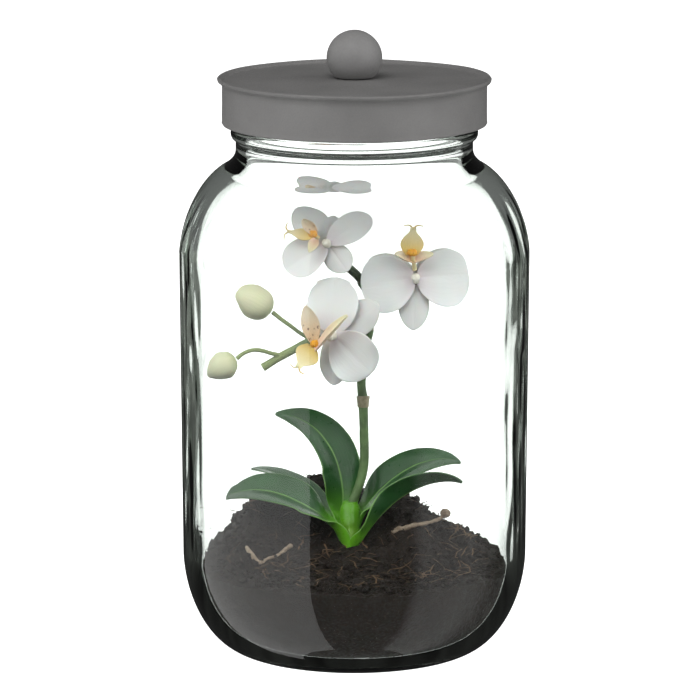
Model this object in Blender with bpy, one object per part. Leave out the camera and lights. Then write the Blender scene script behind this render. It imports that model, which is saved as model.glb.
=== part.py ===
"""A miniature white moth orchid growing in peat inside a large glass jar with a metal cover.

The origin is the centre of the jar's base, +Z is up and the blooms face -Y.
Sizes below are millimetres and degrees, and every vertex is written in metres.
"""
import math

import bmesh
import bpy
from mathutils import Matrix, Vector, noise

MM = 0.001
GAP = 0.3
AXIS_UP = Vector((0.0, 0.0, 1.0))

# Jar, outside
ROUND_SIDES = 48
BASE_PUSH_UP = 1.2
PUSH_UP_RADIUS = 42.0
CONTACT_INNER_RADIUS = 44.5
CONTACT_RADIUS = 51.6
HEEL_HEIGHT = 45.8
HEEL_RADIUS = 79.1
HEEL_POWER = 1.86
SHOULDER_START = 184.2
BODY_RADIUS = 80.0
SHOULDER_TOP = 226.2
SHOULDER_POWER = 1.73
NECK_RADIUS = 54.0
NECK_HEIGHT = 232.6
NECK_FILLET = 3.2
BEAD_RADIUS = 56.3
BEAD_HEIGHT = 240.0
BEAD_HALF_HEIGHT = 2.4
FINISH_RADIUS = 56.6
RIM_RADIUS = 58.6
RIM_START = 257.5
RIM_TOP = 262.6
RIM_ROUND = 1.2

# Jar, inside
FLOOR_HEIGHT = 7.4
FLOOR_RADIUS = 50.0
INNER_HEEL_RADIUS = 71.3
INNER_HEEL_HEIGHT = 46.0
INNER_BODY_RADIUS = 72.0
INNER_SHOULDER_TOP = 219.5
INNER_SHOULDER_STEPS = 6
HEEL_STEPS = 5
MOUTH_RADIUS = 49.0
MOUTH_STRAIGHT = 4.0

# Cover
LIP_RADIUS = 62.4
LIP_HEIGHT = 264.2
SKIRT_RADIUS = 60.3
SKIRT_BOTTOM = 244.2
SHEET = 1.0
PLATE_HEIGHT = 264.2
PLATE_CROWN = 0.8
SCREW_HOLE_RADIUS = 2.3

# Knob and its screw
KNOB_RADIUS = 12.7
KNOB_CENTRE = 274.0
KNOB_SIDES = 24
KNOB_RINGS = 10
KNOB_BORE_RADIUS = 1.9
KNOB_BORE_TOP = 278.0
SCREW_RADIUS = 1.6
SCREW_SIDES = 16
SCREW_TIP = 277.0
SCREW_HEAD_RADIUS = 3.9
SCREW_HEAD_THICKNESS = 2.2

# Soil: level at the glass, then heaps of (x, y, height, spread in x, spread in front, spread behind)
SOIL_LEVEL = 41.0
SOIL_HEAPS = (
    (-8.0, 20.0, 26.0, 32.0, 16.0, 30.0),
    (-45.0, 4.0, 16.0, 10.5, 15.0, 26.0),
    (24.0, 3.0, 12.0, 13.5, 13.0, 26.0),
    (52.0, 2.0, 4.2, 6.5, 12.0, 20.0),
    (-19.0, 24.0, 9.5, 5.5, 5.5, 7.0),
)
SOIL_RINGS = 10
SOIL_GRAIN = 1.3
SOIL_GRAIN_SIZE = 9.0
SOIL_ABOVE_ALL = 90.0
PLANT_X = -2.0
PLANT_Y = -3.0

# Crown: half widths across and front to back at each height
CROWN_SECTIONS = (
    (37.4, 2.6, 2.6),
    (44.0, 3.5, 3.4),
    (50.0, 4.3, 4.0),
    (55.0, 6.0, 4.6),
    (60.0, 7.0, 5.0),
    (65.0, 6.6, 4.8),
    (69.0, 4.6, 3.8),
)
CROWN_WIDEST = 4
CROWN_SIDES = 16
STEM_HOLE_CLEARANCE = 0.6
STEM_HOLE_FLOOR = 60.3

# Leaves
LEAF_STATIONS = 10
LEAF_COLUMNS = 6
LEAF_RIB_THICKNESS = 1.5
LEAF_EDGE_THICKNESS = 0.8
LEAF_BASE_FOLD = 12.0
LEAF_TIP_FOLD = 18.0
LEAF_ROLL_START = 0.3
LEAF_END = 0.985
LEAF_FOOT = 0.10
LEAF_FULL_FOLD = 0.35
LEAVES = {
    "leaf_1": {
        "path": ((-5.4, 4.4, 62.0), (-4.6, 8.0, 86.0), (-15.0, 11.0, 106.0), (-37.6, 12.0, 107.0)),
        "half_width": 12.2, "fold": 35.0, "roll": 38.0,
    },
    "leaf_2": {
        "path": ((-10.8, -4.4, 58.6), (-24.0, -7.0, 69.4), (-45.0, -7.0, 81.0), (-60.0, -5.0, 70.2)),
        "half_width": 11.9, "fold": 37.0, "roll": 32.0,
    },
    "leaf_3": {
        "path": ((-11.4, 3.4, 60.0), (-19.4, 11.4, 68.0), (-36.0, 17.0, 79.6), (-49.4, 21.0, 79.0)),
        "half_width": 8.6, "fold": 34.0, "roll": 4.0,
    },
    "leaf_4": {
        "path": ((4.6, 1.6, 63.0), (14.0, 5.0, 77.0), (34.0, 8.0, 91.0), (50.5, 8.0, 84.5)),
        "half_width": 10.6, "fold": 36.0, "roll": -32.0,
    },
    "leaf_5": {
        "path": ((5.4, -7.4, 55.6), (16.0, -11.0, 71.4), (34.0, -11.0, 85.0), (50.0, -9.0, 79.2)),
        "half_width": 10.2, "fold": 38.0, "roll": 34.0,
    },
}

# Flower stem, its side branch and the stalks, each a route and a radius
STEM_RADIUS = 2.15
BRANCH_RADIUS = 1.95
STALK_RADIUS = 1.1
BUD_STALK_RADIUS = 0.9
TUBE_STEPS = 3
STEM_ROUTE = (
    (-1.9, -2.9, 60.8), (-1.3, -2.5, 67.0), (2.2, -0.6, 76.0), (4.4, 0.5, 86.0), (4.4, 0.8, 100.0),
    (4.0, 1.0, 114.8), (3.2, 1.2, 125.0), (4.8, 1.4, 138.0), (6.4, 1.2, 148.5), (6.8, 0.6, 163.4),
    (2.0, -1.0, 172.8), (-4.4, -3.0, 179.6),
)
STEM_NODES = (115.5, 148.5)
NODE_SWELL = 1.22
NODE_SPREAD = 2.6
BRANCH_ROUTE = (
    (6.2, 1.2, 148.0), (-4.0, 1.6, 146.6), (-18.0, 1.0, 144.2), (-30.0, 0.0, 138.6), (-42.2, -1.0, 131.6),
)
UPPER_BUD_STALK = ((-16.0, 1.0, 144.0), (-22.4, 2.0, 145.6), (-30.0, 3.0, 150.6), (-37.8, 3.7, 156.5))
LOWER_BUD_STALK = (
    (-33.0, -0.4, 137.0), (-38.0, -2.4, 138.4), (-45.0, -4.2, 140.4), (-50.6, -5.0, 139.0),
    (-53.8, -5.3, 136.6),
)
FRONT_STALK = ((6.4, 1.2, 149.0), (1.6, -1.6, 150.0), (-4.6, -6.2, 149.4), (-7.9, -9.4, 148.7))
RIGHT_STALK = ((7.2, 0.8, 158.0), (14.0, 0.6, 162.6), (22.0, -0.2, 168.4), (27.2, -1.6, 172.2))
TOP_STALK = ((-2.0, -2.0, 177.0), (-6.2, -1.2, 182.0), (-9.6, -1.0, 186.4), (-11.6, -3.4, 189.0))

# Buds: where the stalk meets them, where they point, length and half width
BUDS = {
    "bud_upper": {"foot": (-38.2, 3.7, 156.8), "tip": (-54.4, 3.0, 166.4), "half_width": 7.6},
    "bud_lower": {"foot": (-54.2, -5.3, 136.4), "tip": (-66.8, -6.6, 129.6), "half_width": 6.1},
}
BUD_SIDES = 14
BUD_RINGS = 9
BUD_SEAMS = 3
BUD_SEAM_DEPTH = 0.035

# Blooms: angles are counter-clockwise from the viewer's right, seen from the front of the bloom
TEPAL_STATIONS = (0.0, 0.15, 0.34, 0.55, 0.75, 0.91, 0.995)
TEPAL_COLUMNS = 4
TEPAL_THICKNESS = 0.8
TEPAL_ROOT = 0.6
BLOOMS = {
    "front": {
        "centre": (-9.4, -13.0, 149.0), "yaw": 22.0, "pitch": 4.0,
        "petals": ((93.0, 25.6, 12.6), (-42.0, 24.5, 12.2)),
        "sepals": ((37.0, 25.6, 8.0), (-92.0, 23.5, 7.4), (138.0, 20.0, 7.2)),
        "callus": (-6.4, -3.6, 6.4),
        "mid_lobe": ((-7.4, -5.0, 6.4), (-13.0, -15.0, 9.0), 6.4),
        "side_lobes": (
            ((-6.8, -2.6, 6.6), (-10.8, 13.8, 8.6), 4.6, (0.5, 0.1, 0.86)),
            ((-5.6, -6.8, 7.4), (11.0, 10.2, 8.8), 3.2, (-0.75, 0.3, 0.6)),
        ),
    },
    "right": {
        "centre": (27.8, -6.0, 173.4), "yaw": -4.0, "pitch": 12.0,
        "petals": ((188.0, 25.0, 13.2), (2.0, 25.0, 13.2)),
        "sepals": ((-93.0, 23.0, 7.2), (157.0, 23.0, 7.2), (32.0, 23.0, 7.2)),
        "callus": (-2.0, 12.0, 7.4),
        "mid_lobe": ((-2.4, 10.6, 6.6), (-1.6, 24.0, 8.6), 5.8),
        "side_lobes": (
            ((-1.4, 7.6, 5.2), (-10.6, 10.8, 7.6), 3.2, (0.1, 0.6, 0.8)),
            ((-1.0, 7.6, 5.2), (7.6, 10.4, 7.6), 3.0, (-0.1, 0.6, 0.8)),
        ),
    },
    "top": {
        "centre": (-12.4, -7.0, 190.4), "yaw": 12.0, "pitch": 20.0,
        "petals": ((-146.0, 23.0, 9.4), (38.0, 24.0, 7.4)),
        "sepals": ((-52.0, 16.4, 6.6), (84.0, 15.0, 5.0), (131.0, 25.0, 8.4)),
        "callus": (-5.6, 3.4, 5.6),
        "mid_lobe": ((-5.0, 2.4, 5.4), (-17.0, 3.6, 7.0), 3.2),
        "side_lobes": (
            ((-4.2, 3.6, 5.4), (-10.4, 10.0, 7.4), 3.0, (0.3, -0.3, 0.9)),
            ((-4.2, 1.0, 5.2), (-6.4, -6.4, 8.0), 2.6, (0.4, 0.3, 0.85)),
        ),
    },
}
PETAL_BEND = 0.10
PETAL_CUP = 1.6
SEPAL_BEND = 0.06
SEPAL_CUP = -1.0
SEPAL_SET_BACK = 1.3
COLUMN_SIZE = (2.1, 2.3, 4.0)
COLUMN_CENTRE = (0.0, 0.0, 0.6)
TEPAL_LAYER = 0.34
CALLUS_SIZE = (1.8, 1.8, 1.6)
TENDRIL_RADIUS = 0.45
LIP_STATIONS = (0.0, 0.28, 0.56, 0.82, 0.98)
LIP_COLUMNS = 4
LIP_CLAW_RADIUS = 1.0
LIP_CLAW_CLEARANCE = 3.9
LIP_CLAW_HEIGHT = 3.2
LIP_CUP = 0.7
TENDRIL_SPREAD = 4.4
FACE_OUT = (0.0, 0.0, 1.0)

# Pale pieces lying in the soil
BARK_ROUTE = (
    (17.0, -4.6, 54.6), (20.0, -4.2, 56.0), (25.0, -4.0, 57.3), (33.6, -3.0, 58.9), (39.3, -2.4, 60.6),
    (42.0, -2.0, 63.2),
)
BARK_RADIUS = 1.3
BARK_KNOB_RADIUS = 2.4
ROOT_PLACES = (
    (-49.0, -14.0), (-46.0, -19.0), (-42.9, -23.0), (-38.5, -19.5), (-34.6, -16.0), (-29.1, -8.0),
)
ROOT_RADIUS = 1.1
ROOT_RISE = 0.5
BED_CLEARANCE = 0.45


def clear_scene():
    """Remove whatever the scene holds."""
    for item in list(bpy.data.objects):
        bpy.data.objects.remove(item, do_unlink=True)


def material(name, colour, roughness, metallic=0.0, transmission=0.0):
    """A plain Principled material."""
    made = bpy.data.materials.new(name)
    made.use_nodes = True
    made.diffuse_color = (*colour, 1.0)
    shader = made.node_tree.nodes["Principled BSDF"]
    shader.inputs["Base Color"].default_value = (*colour, 1.0)
    shader.inputs["Roughness"].default_value = roughness
    shader.inputs["Metallic"].default_value = metallic
    shader.inputs["Transmission Weight"].default_value = transmission
    return made


def add_object(name, bm, finish, sharp_angle=35.0):
    """Write a bmesh whose units are millimetres to a named object in metres, shaded smooth."""
    bmesh.ops.scale(bm, vec=(MM, MM, MM), verts=bm.verts)
    mesh = bpy.data.meshes.new(name)
    bm.to_mesh(mesh)
    bm.free()
    mesh.shade_smooth()
    mesh.set_sharp_from_angle(angle=math.radians(sharp_angle))
    mesh.materials.append(finish)
    item = bpy.data.objects.new(name, mesh)
    bpy.context.collection.objects.link(item)
    return item


def turned(section, closed=False, sides=ROUND_SIDES):
    """A body turned about Z from a section of (radius, height) that ends on the axis or closes on itself."""
    bm = bmesh.new()
    points = [bm.verts.new((radius, 0.0, height)) for radius, height in section]
    edges = [bm.edges.new(pair) for pair in zip(points, points[1:])]
    if closed:
        edges.append(bm.edges.new((points[-1], points[0])))
    bmesh.ops.spin(
        bm, geom=points + edges, cent=(0.0, 0.0, 0.0), axis=AXIS_UP, angle=math.tau,
        steps=sides, use_merge=True,
    )
    bmesh.ops.remove_doubles(bm, verts=bm.verts, dist=0.01)
    bmesh.ops.recalc_face_normals(bm, faces=bm.faces)
    return bm


def quarter(steps, power):
    """Pairs that run from (0, 1) to (1, 0) round a quarter of a superellipse."""
    pairs = []
    for step in range(steps + 1):
        angle = 0.5 * math.pi * step / steps
        across = max(math.sin(angle), 0.0) ** (2.0 / power)
        along = max(math.cos(angle), 0.0) ** (2.0 / power)
        pairs.append((across, along))
    return pairs


def inner_section():
    """The jar's inner wall from its mouth down to the middle of its floor."""
    section = [(MOUTH_RADIUS, INNER_SHOULDER_TOP + MOUTH_STRAIGHT)]
    span = INNER_BODY_RADIUS - MOUTH_RADIUS
    rise = INNER_SHOULDER_TOP - SHOULDER_START
    for across, along in quarter(INNER_SHOULDER_STEPS, SHOULDER_POWER):
        section.append((MOUTH_RADIUS + span * across, SHOULDER_START + rise * along))
    return section + inner_heel(0.0, HEEL_STEPS)


def inner_heel(inset, steps):
    """The inner heel from the straight wall down to the middle of the floor, moved in by inset."""
    section = []
    span = INNER_HEEL_RADIUS - FLOOR_RADIUS
    drop = INNER_HEEL_HEIGHT - FLOOR_HEIGHT
    for across, along in reversed(quarter(steps, HEEL_POWER)):
        height = INNER_HEEL_HEIGHT - drop * along
        section.append((FLOOR_RADIUS + span * across - inset, height + inset))
    section.append((0.0, FLOOR_HEIGHT + inset))
    return section


def make_jar(finish):
    """The glass jar: push-up, contact ring, heel, body, shoulder, neck, bead, rim and inner wall."""
    section = [(0.0, BASE_PUSH_UP), (PUSH_UP_RADIUS, BASE_PUSH_UP), (CONTACT_INNER_RADIUS, 0.0)]
    for across, along in quarter(7, HEEL_POWER):
        radius = CONTACT_RADIUS + (HEEL_RADIUS - CONTACT_RADIUS) * across
        section.append((radius, HEEL_HEIGHT - HEEL_HEIGHT * along))
    for across, along in reversed(quarter(7, SHOULDER_POWER)[1:]):
        radius = NECK_RADIUS + (BODY_RADIUS - NECK_RADIUS) * across
        section.append((radius, SHOULDER_START + (SHOULDER_TOP - SHOULDER_START) * along))
    section.append((NECK_RADIUS + NECK_FILLET, SHOULDER_TOP + 0.3))
    section.append((NECK_RADIUS + 0.2 * NECK_FILLET, SHOULDER_TOP + 0.7 * NECK_FILLET))
    section.append((NECK_RADIUS, NECK_HEIGHT))
    section.append((NECK_RADIUS + 0.5, BEAD_HEIGHT - BEAD_HALF_HEIGHT))
    section.append((BEAD_RADIUS, BEAD_HEIGHT - 0.8))
    section.append((BEAD_RADIUS, BEAD_HEIGHT + 0.8))
    section.append((NECK_RADIUS + 1.0, BEAD_HEIGHT + BEAD_HALF_HEIGHT))
    section.append((FINISH_RADIUS, BEAD_HEIGHT + 2.0 * BEAD_HALF_HEIGHT))
    section.append((FINISH_RADIUS, RIM_START))
    section.append((RIM_RADIUS, RIM_START + RIM_ROUND))
    section.append((RIM_RADIUS, RIM_TOP - RIM_ROUND))
    section.append((RIM_RADIUS - RIM_ROUND, RIM_TOP))
    section.append((MOUTH_RADIUS + RIM_ROUND, RIM_TOP))
    section.append((MOUTH_RADIUS, RIM_TOP - RIM_ROUND))
    section += inner_section()
    add_object("jar", turned(section), finish)


def make_lid(finish):
    """The pressed cover: crowned plate with the screw's hole, rolled lip and straight skirt."""
    inner = SKIRT_RADIUS - SHEET
    section = [
        (SCREW_HOLE_RADIUS, PLATE_HEIGHT + PLATE_CROWN),
        (30.0, PLATE_HEIGHT + 0.7 * PLATE_CROWN),
        (SKIRT_RADIUS - 2.2, PLATE_HEIGHT),
        (SKIRT_RADIUS - 0.9, PLATE_HEIGHT + 0.2),
        (SKIRT_RADIUS - 0.1, LIP_HEIGHT + 0.9),
        (LIP_RADIUS - 0.9, LIP_HEIGHT + 1.0),
        (LIP_RADIUS, LIP_HEIGHT + 0.2),
        (LIP_RADIUS - 0.1, LIP_HEIGHT - 0.8),
        (LIP_RADIUS - 1.2, LIP_HEIGHT - 1.4),
        (SKIRT_RADIUS, LIP_HEIGHT - 2.2),
        (SKIRT_RADIUS, SKIRT_BOTTOM + 0.9),
        (SKIRT_RADIUS - 0.4, SKIRT_BOTTOM),
        (inner, SKIRT_BOTTOM + 0.4),
        (inner, PLATE_HEIGHT - 2.4),
        (inner - 0.8, PLATE_HEIGHT - SHEET - 0.2),
        (30.0, PLATE_HEIGHT + 0.7 * PLATE_CROWN - SHEET),
        (SCREW_HOLE_RADIUS, PLATE_HEIGHT + PLATE_CROWN - SHEET),
    ]
    add_object("lid", turned(section, closed=True), finish)


def make_knob(finish):
    """The ball, cut flat where it sits on the plate and bored for its screw."""
    seat = PLATE_HEIGHT + PLATE_CROWN + GAP
    start = math.acos((seat - KNOB_CENTRE) / KNOB_RADIUS)
    section = []
    for ring in range(KNOB_RINGS + 1):
        angle = start * ring / KNOB_RINGS
        radius = KNOB_RADIUS * math.sin(angle)
        section.append((radius, KNOB_CENTRE + KNOB_RADIUS * math.cos(angle)))
    section += [(KNOB_BORE_RADIUS, seat), (KNOB_BORE_RADIUS, KNOB_BORE_TOP), (0.0, KNOB_BORE_TOP + 0.8)]
    add_object("lid_knob", turned(section, sides=KNOB_SIDES), finish)


def make_screw(finish):
    """The screw whose head lies under the plate and whose shank holds the ball."""
    head_top = PLATE_HEIGHT + PLATE_CROWN - SHEET - GAP
    section = [
        (0.0, SCREW_TIP),
        (SCREW_RADIUS, SCREW_TIP - 2.4),
        (SCREW_RADIUS, head_top),
        (SCREW_HEAD_RADIUS, head_top),
        (SCREW_HEAD_RADIUS - 0.4, head_top - 1.2),
        (SCREW_HEAD_RADIUS - 1.6, head_top - SCREW_HEAD_THICKNESS),
        (0.0, head_top - SCREW_HEAD_THICKNESS),
    ]
    add_object("knob_screw", turned(section, sides=SCREW_SIDES), finish)


def soil_height(x, y):
    """Height of the soil at a place: its level, its heaps and its grain."""
    height = SOIL_LEVEL
    for heap_x, heap_y, rise, spread_x, spread_front, spread_back in SOIL_HEAPS:
        spread_y = spread_front if y < heap_y else spread_back
        reach = ((x - heap_x) / spread_x) ** 2 + ((y - heap_y) / spread_y) ** 2
        height += rise * math.exp(-0.5 * reach)
    grain = noise.noise(Vector((x, y, 0.0)) / SOIL_GRAIN_SIZE)
    return height + SOIL_GRAIN * grain


def cut(item, cutter):
    """Take the cutter's shape out of the item and drop the cutter."""
    change = item.modifiers.new("cut", "BOOLEAN")
    change.operation = "DIFFERENCE"
    change.solver = "EXACT"
    change.object = cutter
    apply_modifier(item)
    bpy.data.objects.remove(cutter, do_unlink=True)


def apply_modifier(item):
    """Replace the item's mesh by what its modifiers make of it."""
    bpy.context.view_layer.update()
    evaluated = item.evaluated_get(bpy.context.evaluated_depsgraph_get())
    mesh = bpy.data.meshes.new_from_object(evaluated)
    item.modifiers.clear()
    item.data = mesh


def make_soil(finish, bedded):
    """The peat: its foot follows the jar's inside, its top is heaped, and what lies in it has its bed."""
    foot = inner_heel(GAP, HEEL_STEPS)
    (wall_radius, wall_height), (low_radius, low_height) = foot[:2]
    section = [(wall_radius * ring / SOIL_RINGS, SOIL_ABOVE_ALL) for ring in range(SOIL_RINGS + 1)]
    bm = turned(section + foot[1:])
    for vert in bm.verts:
        if vert.co.z < SOIL_ABOVE_ALL - 1.0:
            continue
        vert.co.z = soil_height(vert.co.x, vert.co.y)
        if vert.co.xy.length > wall_radius - 0.1:
            share = min((vert.co.z - low_height) / (wall_height - low_height), 1.0)
            vert.co.xy *= (low_radius + (wall_radius - low_radius) * share) / wall_radius
    bmesh.ops.triangulate(bm, faces=bm.faces)
    item = add_object("soil", bm, finish)
    cut(item, planting_hole())
    for cutter in bedded:
        cut(item, cutter)


def lofted(sections, sides):
    """A closed body through upright elliptic sections of (height, half width x, half width y)."""
    bm = bmesh.new()
    rings = []
    for height, half_x, half_y in sections:
        ring = []
        for side in range(sides):
            angle = math.tau * side / sides
            ring.append(bm.verts.new((half_x * math.cos(angle), half_y * math.sin(angle), height)))
        rings.append(ring)
    for low, high in zip(rings, rings[1:]):
        for side in range(sides):
            after = (side + 1) % sides
            bm.faces.new((low[side], low[after], high[after], high[side]))
    bm.faces.new(reversed(rings[0]))
    bm.faces.new(rings[-1])
    return bm


def planting_hole():
    """The cutter of the hole that the crown stands in: the crown's own taper with clearance all round."""
    sections = [
        (height - BED_CLEARANCE, half_x + BED_CLEARANCE, half_y + BED_CLEARANCE)
        for height, half_x, half_y in CROWN_SECTIONS[:CROWN_WIDEST + 1]
    ]
    sections.append((SOIL_ABOVE_ALL,) + sections[-1][1:])
    bm = lofted(sections, CROWN_SIDES)
    bmesh.ops.translate(bm, vec=(PLANT_X, PLANT_Y, 0.0), verts=bm.verts)
    return add_object("cutter", bm, None)


def make_crown(finish):
    """The short sheath at the plant's foot, with a plain hole for the flower stem."""
    bm = lofted(CROWN_SECTIONS, CROWN_SIDES)
    bmesh.ops.translate(bm, vec=(PLANT_X, PLANT_Y, 0.0), verts=bm.verts)
    item = add_object("crown", bm, finish)
    foot = (STEM_ROUTE[0][0], STEM_ROUTE[0][1], STEM_HOLE_FLOOR)
    cut(item, tube("cutter", (foot,) + STEM_ROUTE[1:3], STEM_RADIUS + STEM_HOLE_CLEARANCE))


def blade(bm, rows, thickness):
    """Add a closed blade to bm. rows holds the middle points, thickness(row, column) its depth there.

    Both faces are split into the same triangles.
    """
    last_row = len(rows) - 1
    last_column = len(rows[0]) - 1
    upper = []
    lower = []
    for i, row in enumerate(rows):
        upper_row = []
        lower_row = []
        for j, point in enumerate(row):
            along = rows[min(i + 1, last_row)][j] - rows[max(i - 1, 0)][j]
            across = row[min(j + 1, last_column)] - row[max(j - 1, 0)]
            normal = along.cross(across).normalized()
            half = 0.5 * thickness(i, j)
            upper_row.append(bm.verts.new(point + normal * half))
            lower_row.append(bm.verts.new(point - normal * half))
        upper.append(upper_row)
        lower.append(lower_row)
    for i in range(last_row):
        for j in range(last_column):
            near, far = (i, j), (i + 1, j + 1)
            for corner in ((i + 1, j), (i, j + 1)):
                corners = (near, corner, far) if corner[0] > i else (near, far, corner)
                bm.faces.new([upper[a][b] for a, b in corners])
                bm.faces.new([lower[a][b] for a, b in reversed(corners)])
    loop = [(i, 0) for i in range(last_row + 1)]
    loop += [(last_row, j) for j in range(1, last_column + 1)]
    loop += [(i, last_column) for i in reversed(range(last_row))]
    loop += [(0, j) for j in reversed(range(1, last_column))]
    for first, second in zip(loop, loop[1:] + loop[:1]):
        a, b = first
        c, d = second
        bm.faces.new((upper[a][b], lower[a][b], lower[c][d], upper[c][d]))


def bezier(points, t):
    """Place and direction on a cubic curve."""
    p0, p1, p2, p3 = (Vector(point) for point in points)
    s = 1.0 - t
    place = s ** 3 * p0 + 3.0 * s * s * t * p1 + 3.0 * s * t * t * p2 + t ** 3 * p3
    heading = 3.0 * s * s * (p1 - p0) + 6.0 * s * t * (p2 - p1) + 3.0 * t * t * (p3 - p2)
    return place, heading.normalized()


def leaf_width(t):
    """Half width of a leaf along its length, as a share of the widest."""
    return math.sin(math.pi * (LEAF_FOOT + (1.0 - LEAF_FOOT) * t ** 0.9)) ** 0.8


def leaf_fold(t, fold):
    """Angle that each half of the blade rises by, from the foot to the tip."""
    if t < LEAF_FULL_FOLD:
        return LEAF_BASE_FOLD + (fold - LEAF_BASE_FOLD) * math.sin(0.5 * math.pi * t / LEAF_FULL_FOLD)
    return fold + (LEAF_TIP_FOLD - fold) * (t - LEAF_FULL_FOLD) / (1.0 - LEAF_FULL_FOLD)


def make_leaf(name, path, half_width, fold, roll, finish):
    """One strap leaf: a channelled blade that follows its midrib and ends in a short point."""
    rows = []
    for station in range(LEAF_STATIONS + 1):
        t = LEAF_END * station / LEAF_STATIONS
        place, heading = bezier(path, t)
        turn = math.radians(roll) * min(t / LEAF_ROLL_START, 1.0)
        inward = (AXIS_UP - heading * heading.dot(AXIS_UP)).normalized()
        side = heading.cross(inward)
        side_turned = side * math.cos(turn) + inward * math.sin(turn)
        face = inward * math.cos(turn) - side * math.sin(turn)
        rise = math.radians(leaf_fold(t, fold))
        row = []
        for column in range(LEAF_COLUMNS + 1):
            share = 2.0 * column / LEAF_COLUMNS - 1.0
            reach = half_width * leaf_width(t) * share
            lift = abs(reach) * math.sin(rise) * (1.0 - 0.25 * abs(share))
            row.append(place + side_turned * reach * math.cos(rise) + face * lift)
        rows.append(row)

    def thickness(_, column):
        share = abs(2.0 * column / LEAF_COLUMNS - 1.0)
        return LEAF_RIB_THICKNESS + (LEAF_EDGE_THICKNESS - LEAF_RIB_THICKNESS) * share

    bm = bmesh.new()
    blade(bm, rows, thickness)
    bmesh.ops.recalc_face_normals(bm, faces=bm.faces)
    add_object(name, bm, finish, sharp_angle=60.0)


def smooth_route(points, steps):
    """Points on a smooth curve through the given ones."""
    knots = [Vector(point) for point in points]
    knots = [2.0 * knots[0] - knots[1]] + knots + [2.0 * knots[-1] - knots[-2]]
    route = []
    for before, start, end, after in zip(knots, knots[1:], knots[2:], knots[3:]):
        for step in range(steps):
            t = step / steps
            route.append(0.5 * (
                2.0 * start + (end - before) * t
                + (2.0 * before - 5.0 * start + 4.0 * end - after) * t * t
                + (3.0 * start - before - 3.0 * end + after) * t ** 3
            ))
    route.append(knots[-2])
    return route


def tube(name, points, radius, swell=None, steps=TUBE_STEPS, roundness=2):
    """A capped round rod along a route. swell(place) multiplies its radius."""
    route = smooth_route(points, steps)
    curve = bpy.data.curves.new(name, "CURVE")
    curve.dimensions = "3D"
    curve.bevel_depth = radius * MM
    curve.bevel_resolution = roundness
    curve.use_fill_caps = True
    spline = curve.splines.new("POLY")
    spline.points.add(len(route) - 1)
    for point, place in zip(spline.points, route):
        point.co = (*(place * MM), 1.0)
        point.radius = swell(place) if swell else 1.0
    item = bpy.data.objects.new(name, curve)
    bpy.context.collection.objects.link(item)
    bpy.context.view_layer.update()
    evaluated = item.evaluated_get(bpy.context.evaluated_depsgraph_get())
    mesh = bpy.data.meshes.new_from_object(evaluated)
    bpy.data.objects.remove(item, do_unlink=True)
    solid = bpy.data.objects.new(name, mesh)
    bpy.context.collection.objects.link(solid)
    return solid


def joined(name, first, others, finish):
    """Join closed solids that run into each other into one body."""
    group = bpy.data.collections.new(name + "_pieces")
    bpy.context.scene.collection.children.link(group)
    for item in others:
        bpy.context.collection.objects.unlink(item)
        group.objects.link(item)
    change = first.modifiers.new("join", "BOOLEAN")
    change.operation = "UNION"
    change.solver = "EXACT"
    change.operand_type = "COLLECTION"
    change.collection = group
    apply_modifier(first)
    for item in others:
        bpy.data.objects.remove(item, do_unlink=True)
    bpy.data.collections.remove(group)
    first.name = name
    mesh = first.data
    mesh.materials.clear()
    mesh.materials.append(finish)
    mesh.shade_smooth()
    mesh.set_sharp_from_angle(angle=math.radians(50.0))
    return first


def stem_swell(place):
    """The stem is thicker at its nodes."""
    swell = 1.0
    for node_height in STEM_NODES:
        swell += (NODE_SWELL - 1.0) * math.exp(-((place.z - node_height) / NODE_SPREAD) ** 2)
    return swell


def make_spike(finish):
    """The flower stem joined with its side branch and with the stalks of blooms and buds."""
    stem = tube("flower_spike", STEM_ROUTE, STEM_RADIUS, stem_swell)
    others = [
        tube("branch", BRANCH_ROUTE, BRANCH_RADIUS),
        tube("upper_bud_stalk", UPPER_BUD_STALK, BUD_STALK_RADIUS, roundness=1),
        tube("lower_bud_stalk", LOWER_BUD_STALK, BUD_STALK_RADIUS, roundness=1),
        tube("front_stalk", FRONT_STALK, STALK_RADIUS, roundness=1),
        tube("right_stalk", RIGHT_STALK, STALK_RADIUS, roundness=1),
        tube("top_stalk", TOP_STALK, STALK_RADIUS, roundness=1),
    ]
    joined("flower_spike", stem, others, finish)


def make_bud(name, foot, tip, half_width, finish):
    """A closed bud: an egg with three faint seams, its thick end at the stalk."""
    start = Vector(foot)
    axis = Vector(tip) - start
    length = axis.length
    turn = AXIS_UP.rotation_difference(axis).to_matrix()
    bm = bmesh.new()
    bmesh.ops.create_uvsphere(bm, u_segments=BUD_SIDES, v_segments=BUD_RINGS, radius=1.0)
    for vert in bm.verts:
        angle = math.atan2(vert.co.y, vert.co.x)
        width = half_width * (1.0 - 0.16 * vert.co.z) * (1.0 + BUD_SEAM_DEPTH * math.cos(BUD_SEAMS * angle))
        local = Vector((vert.co.x * width, vert.co.y * width, 0.5 * length * (vert.co.z + 1.0)))
        vert.co = start + turn @ local
    add_object(name, bm, finish, sharp_angle=60.0)


def bloom_place(centre, yaw, pitch):
    """The bloom's frame: x to the viewer's right, y up and z out of its face."""
    turn_left = Matrix.Rotation(math.radians(-yaw), 4, "Z")
    lean = Matrix.Rotation(math.radians(90.0 - pitch), 4, "X")
    return Matrix.Translation(centre) @ turn_left @ lean


def petal_outline(t):
    """Half width of a broad petal with a narrow foot, as a share of the widest."""
    widest = 0.56
    if t < widest:
        return 0.2 + 0.8 * (1.0 - ((widest - t) / widest) ** 2) ** 0.8
    return max(1.0 - ((t - widest) / (1.0 - widest)) ** 2.3, 0.0) ** 0.5


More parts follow.
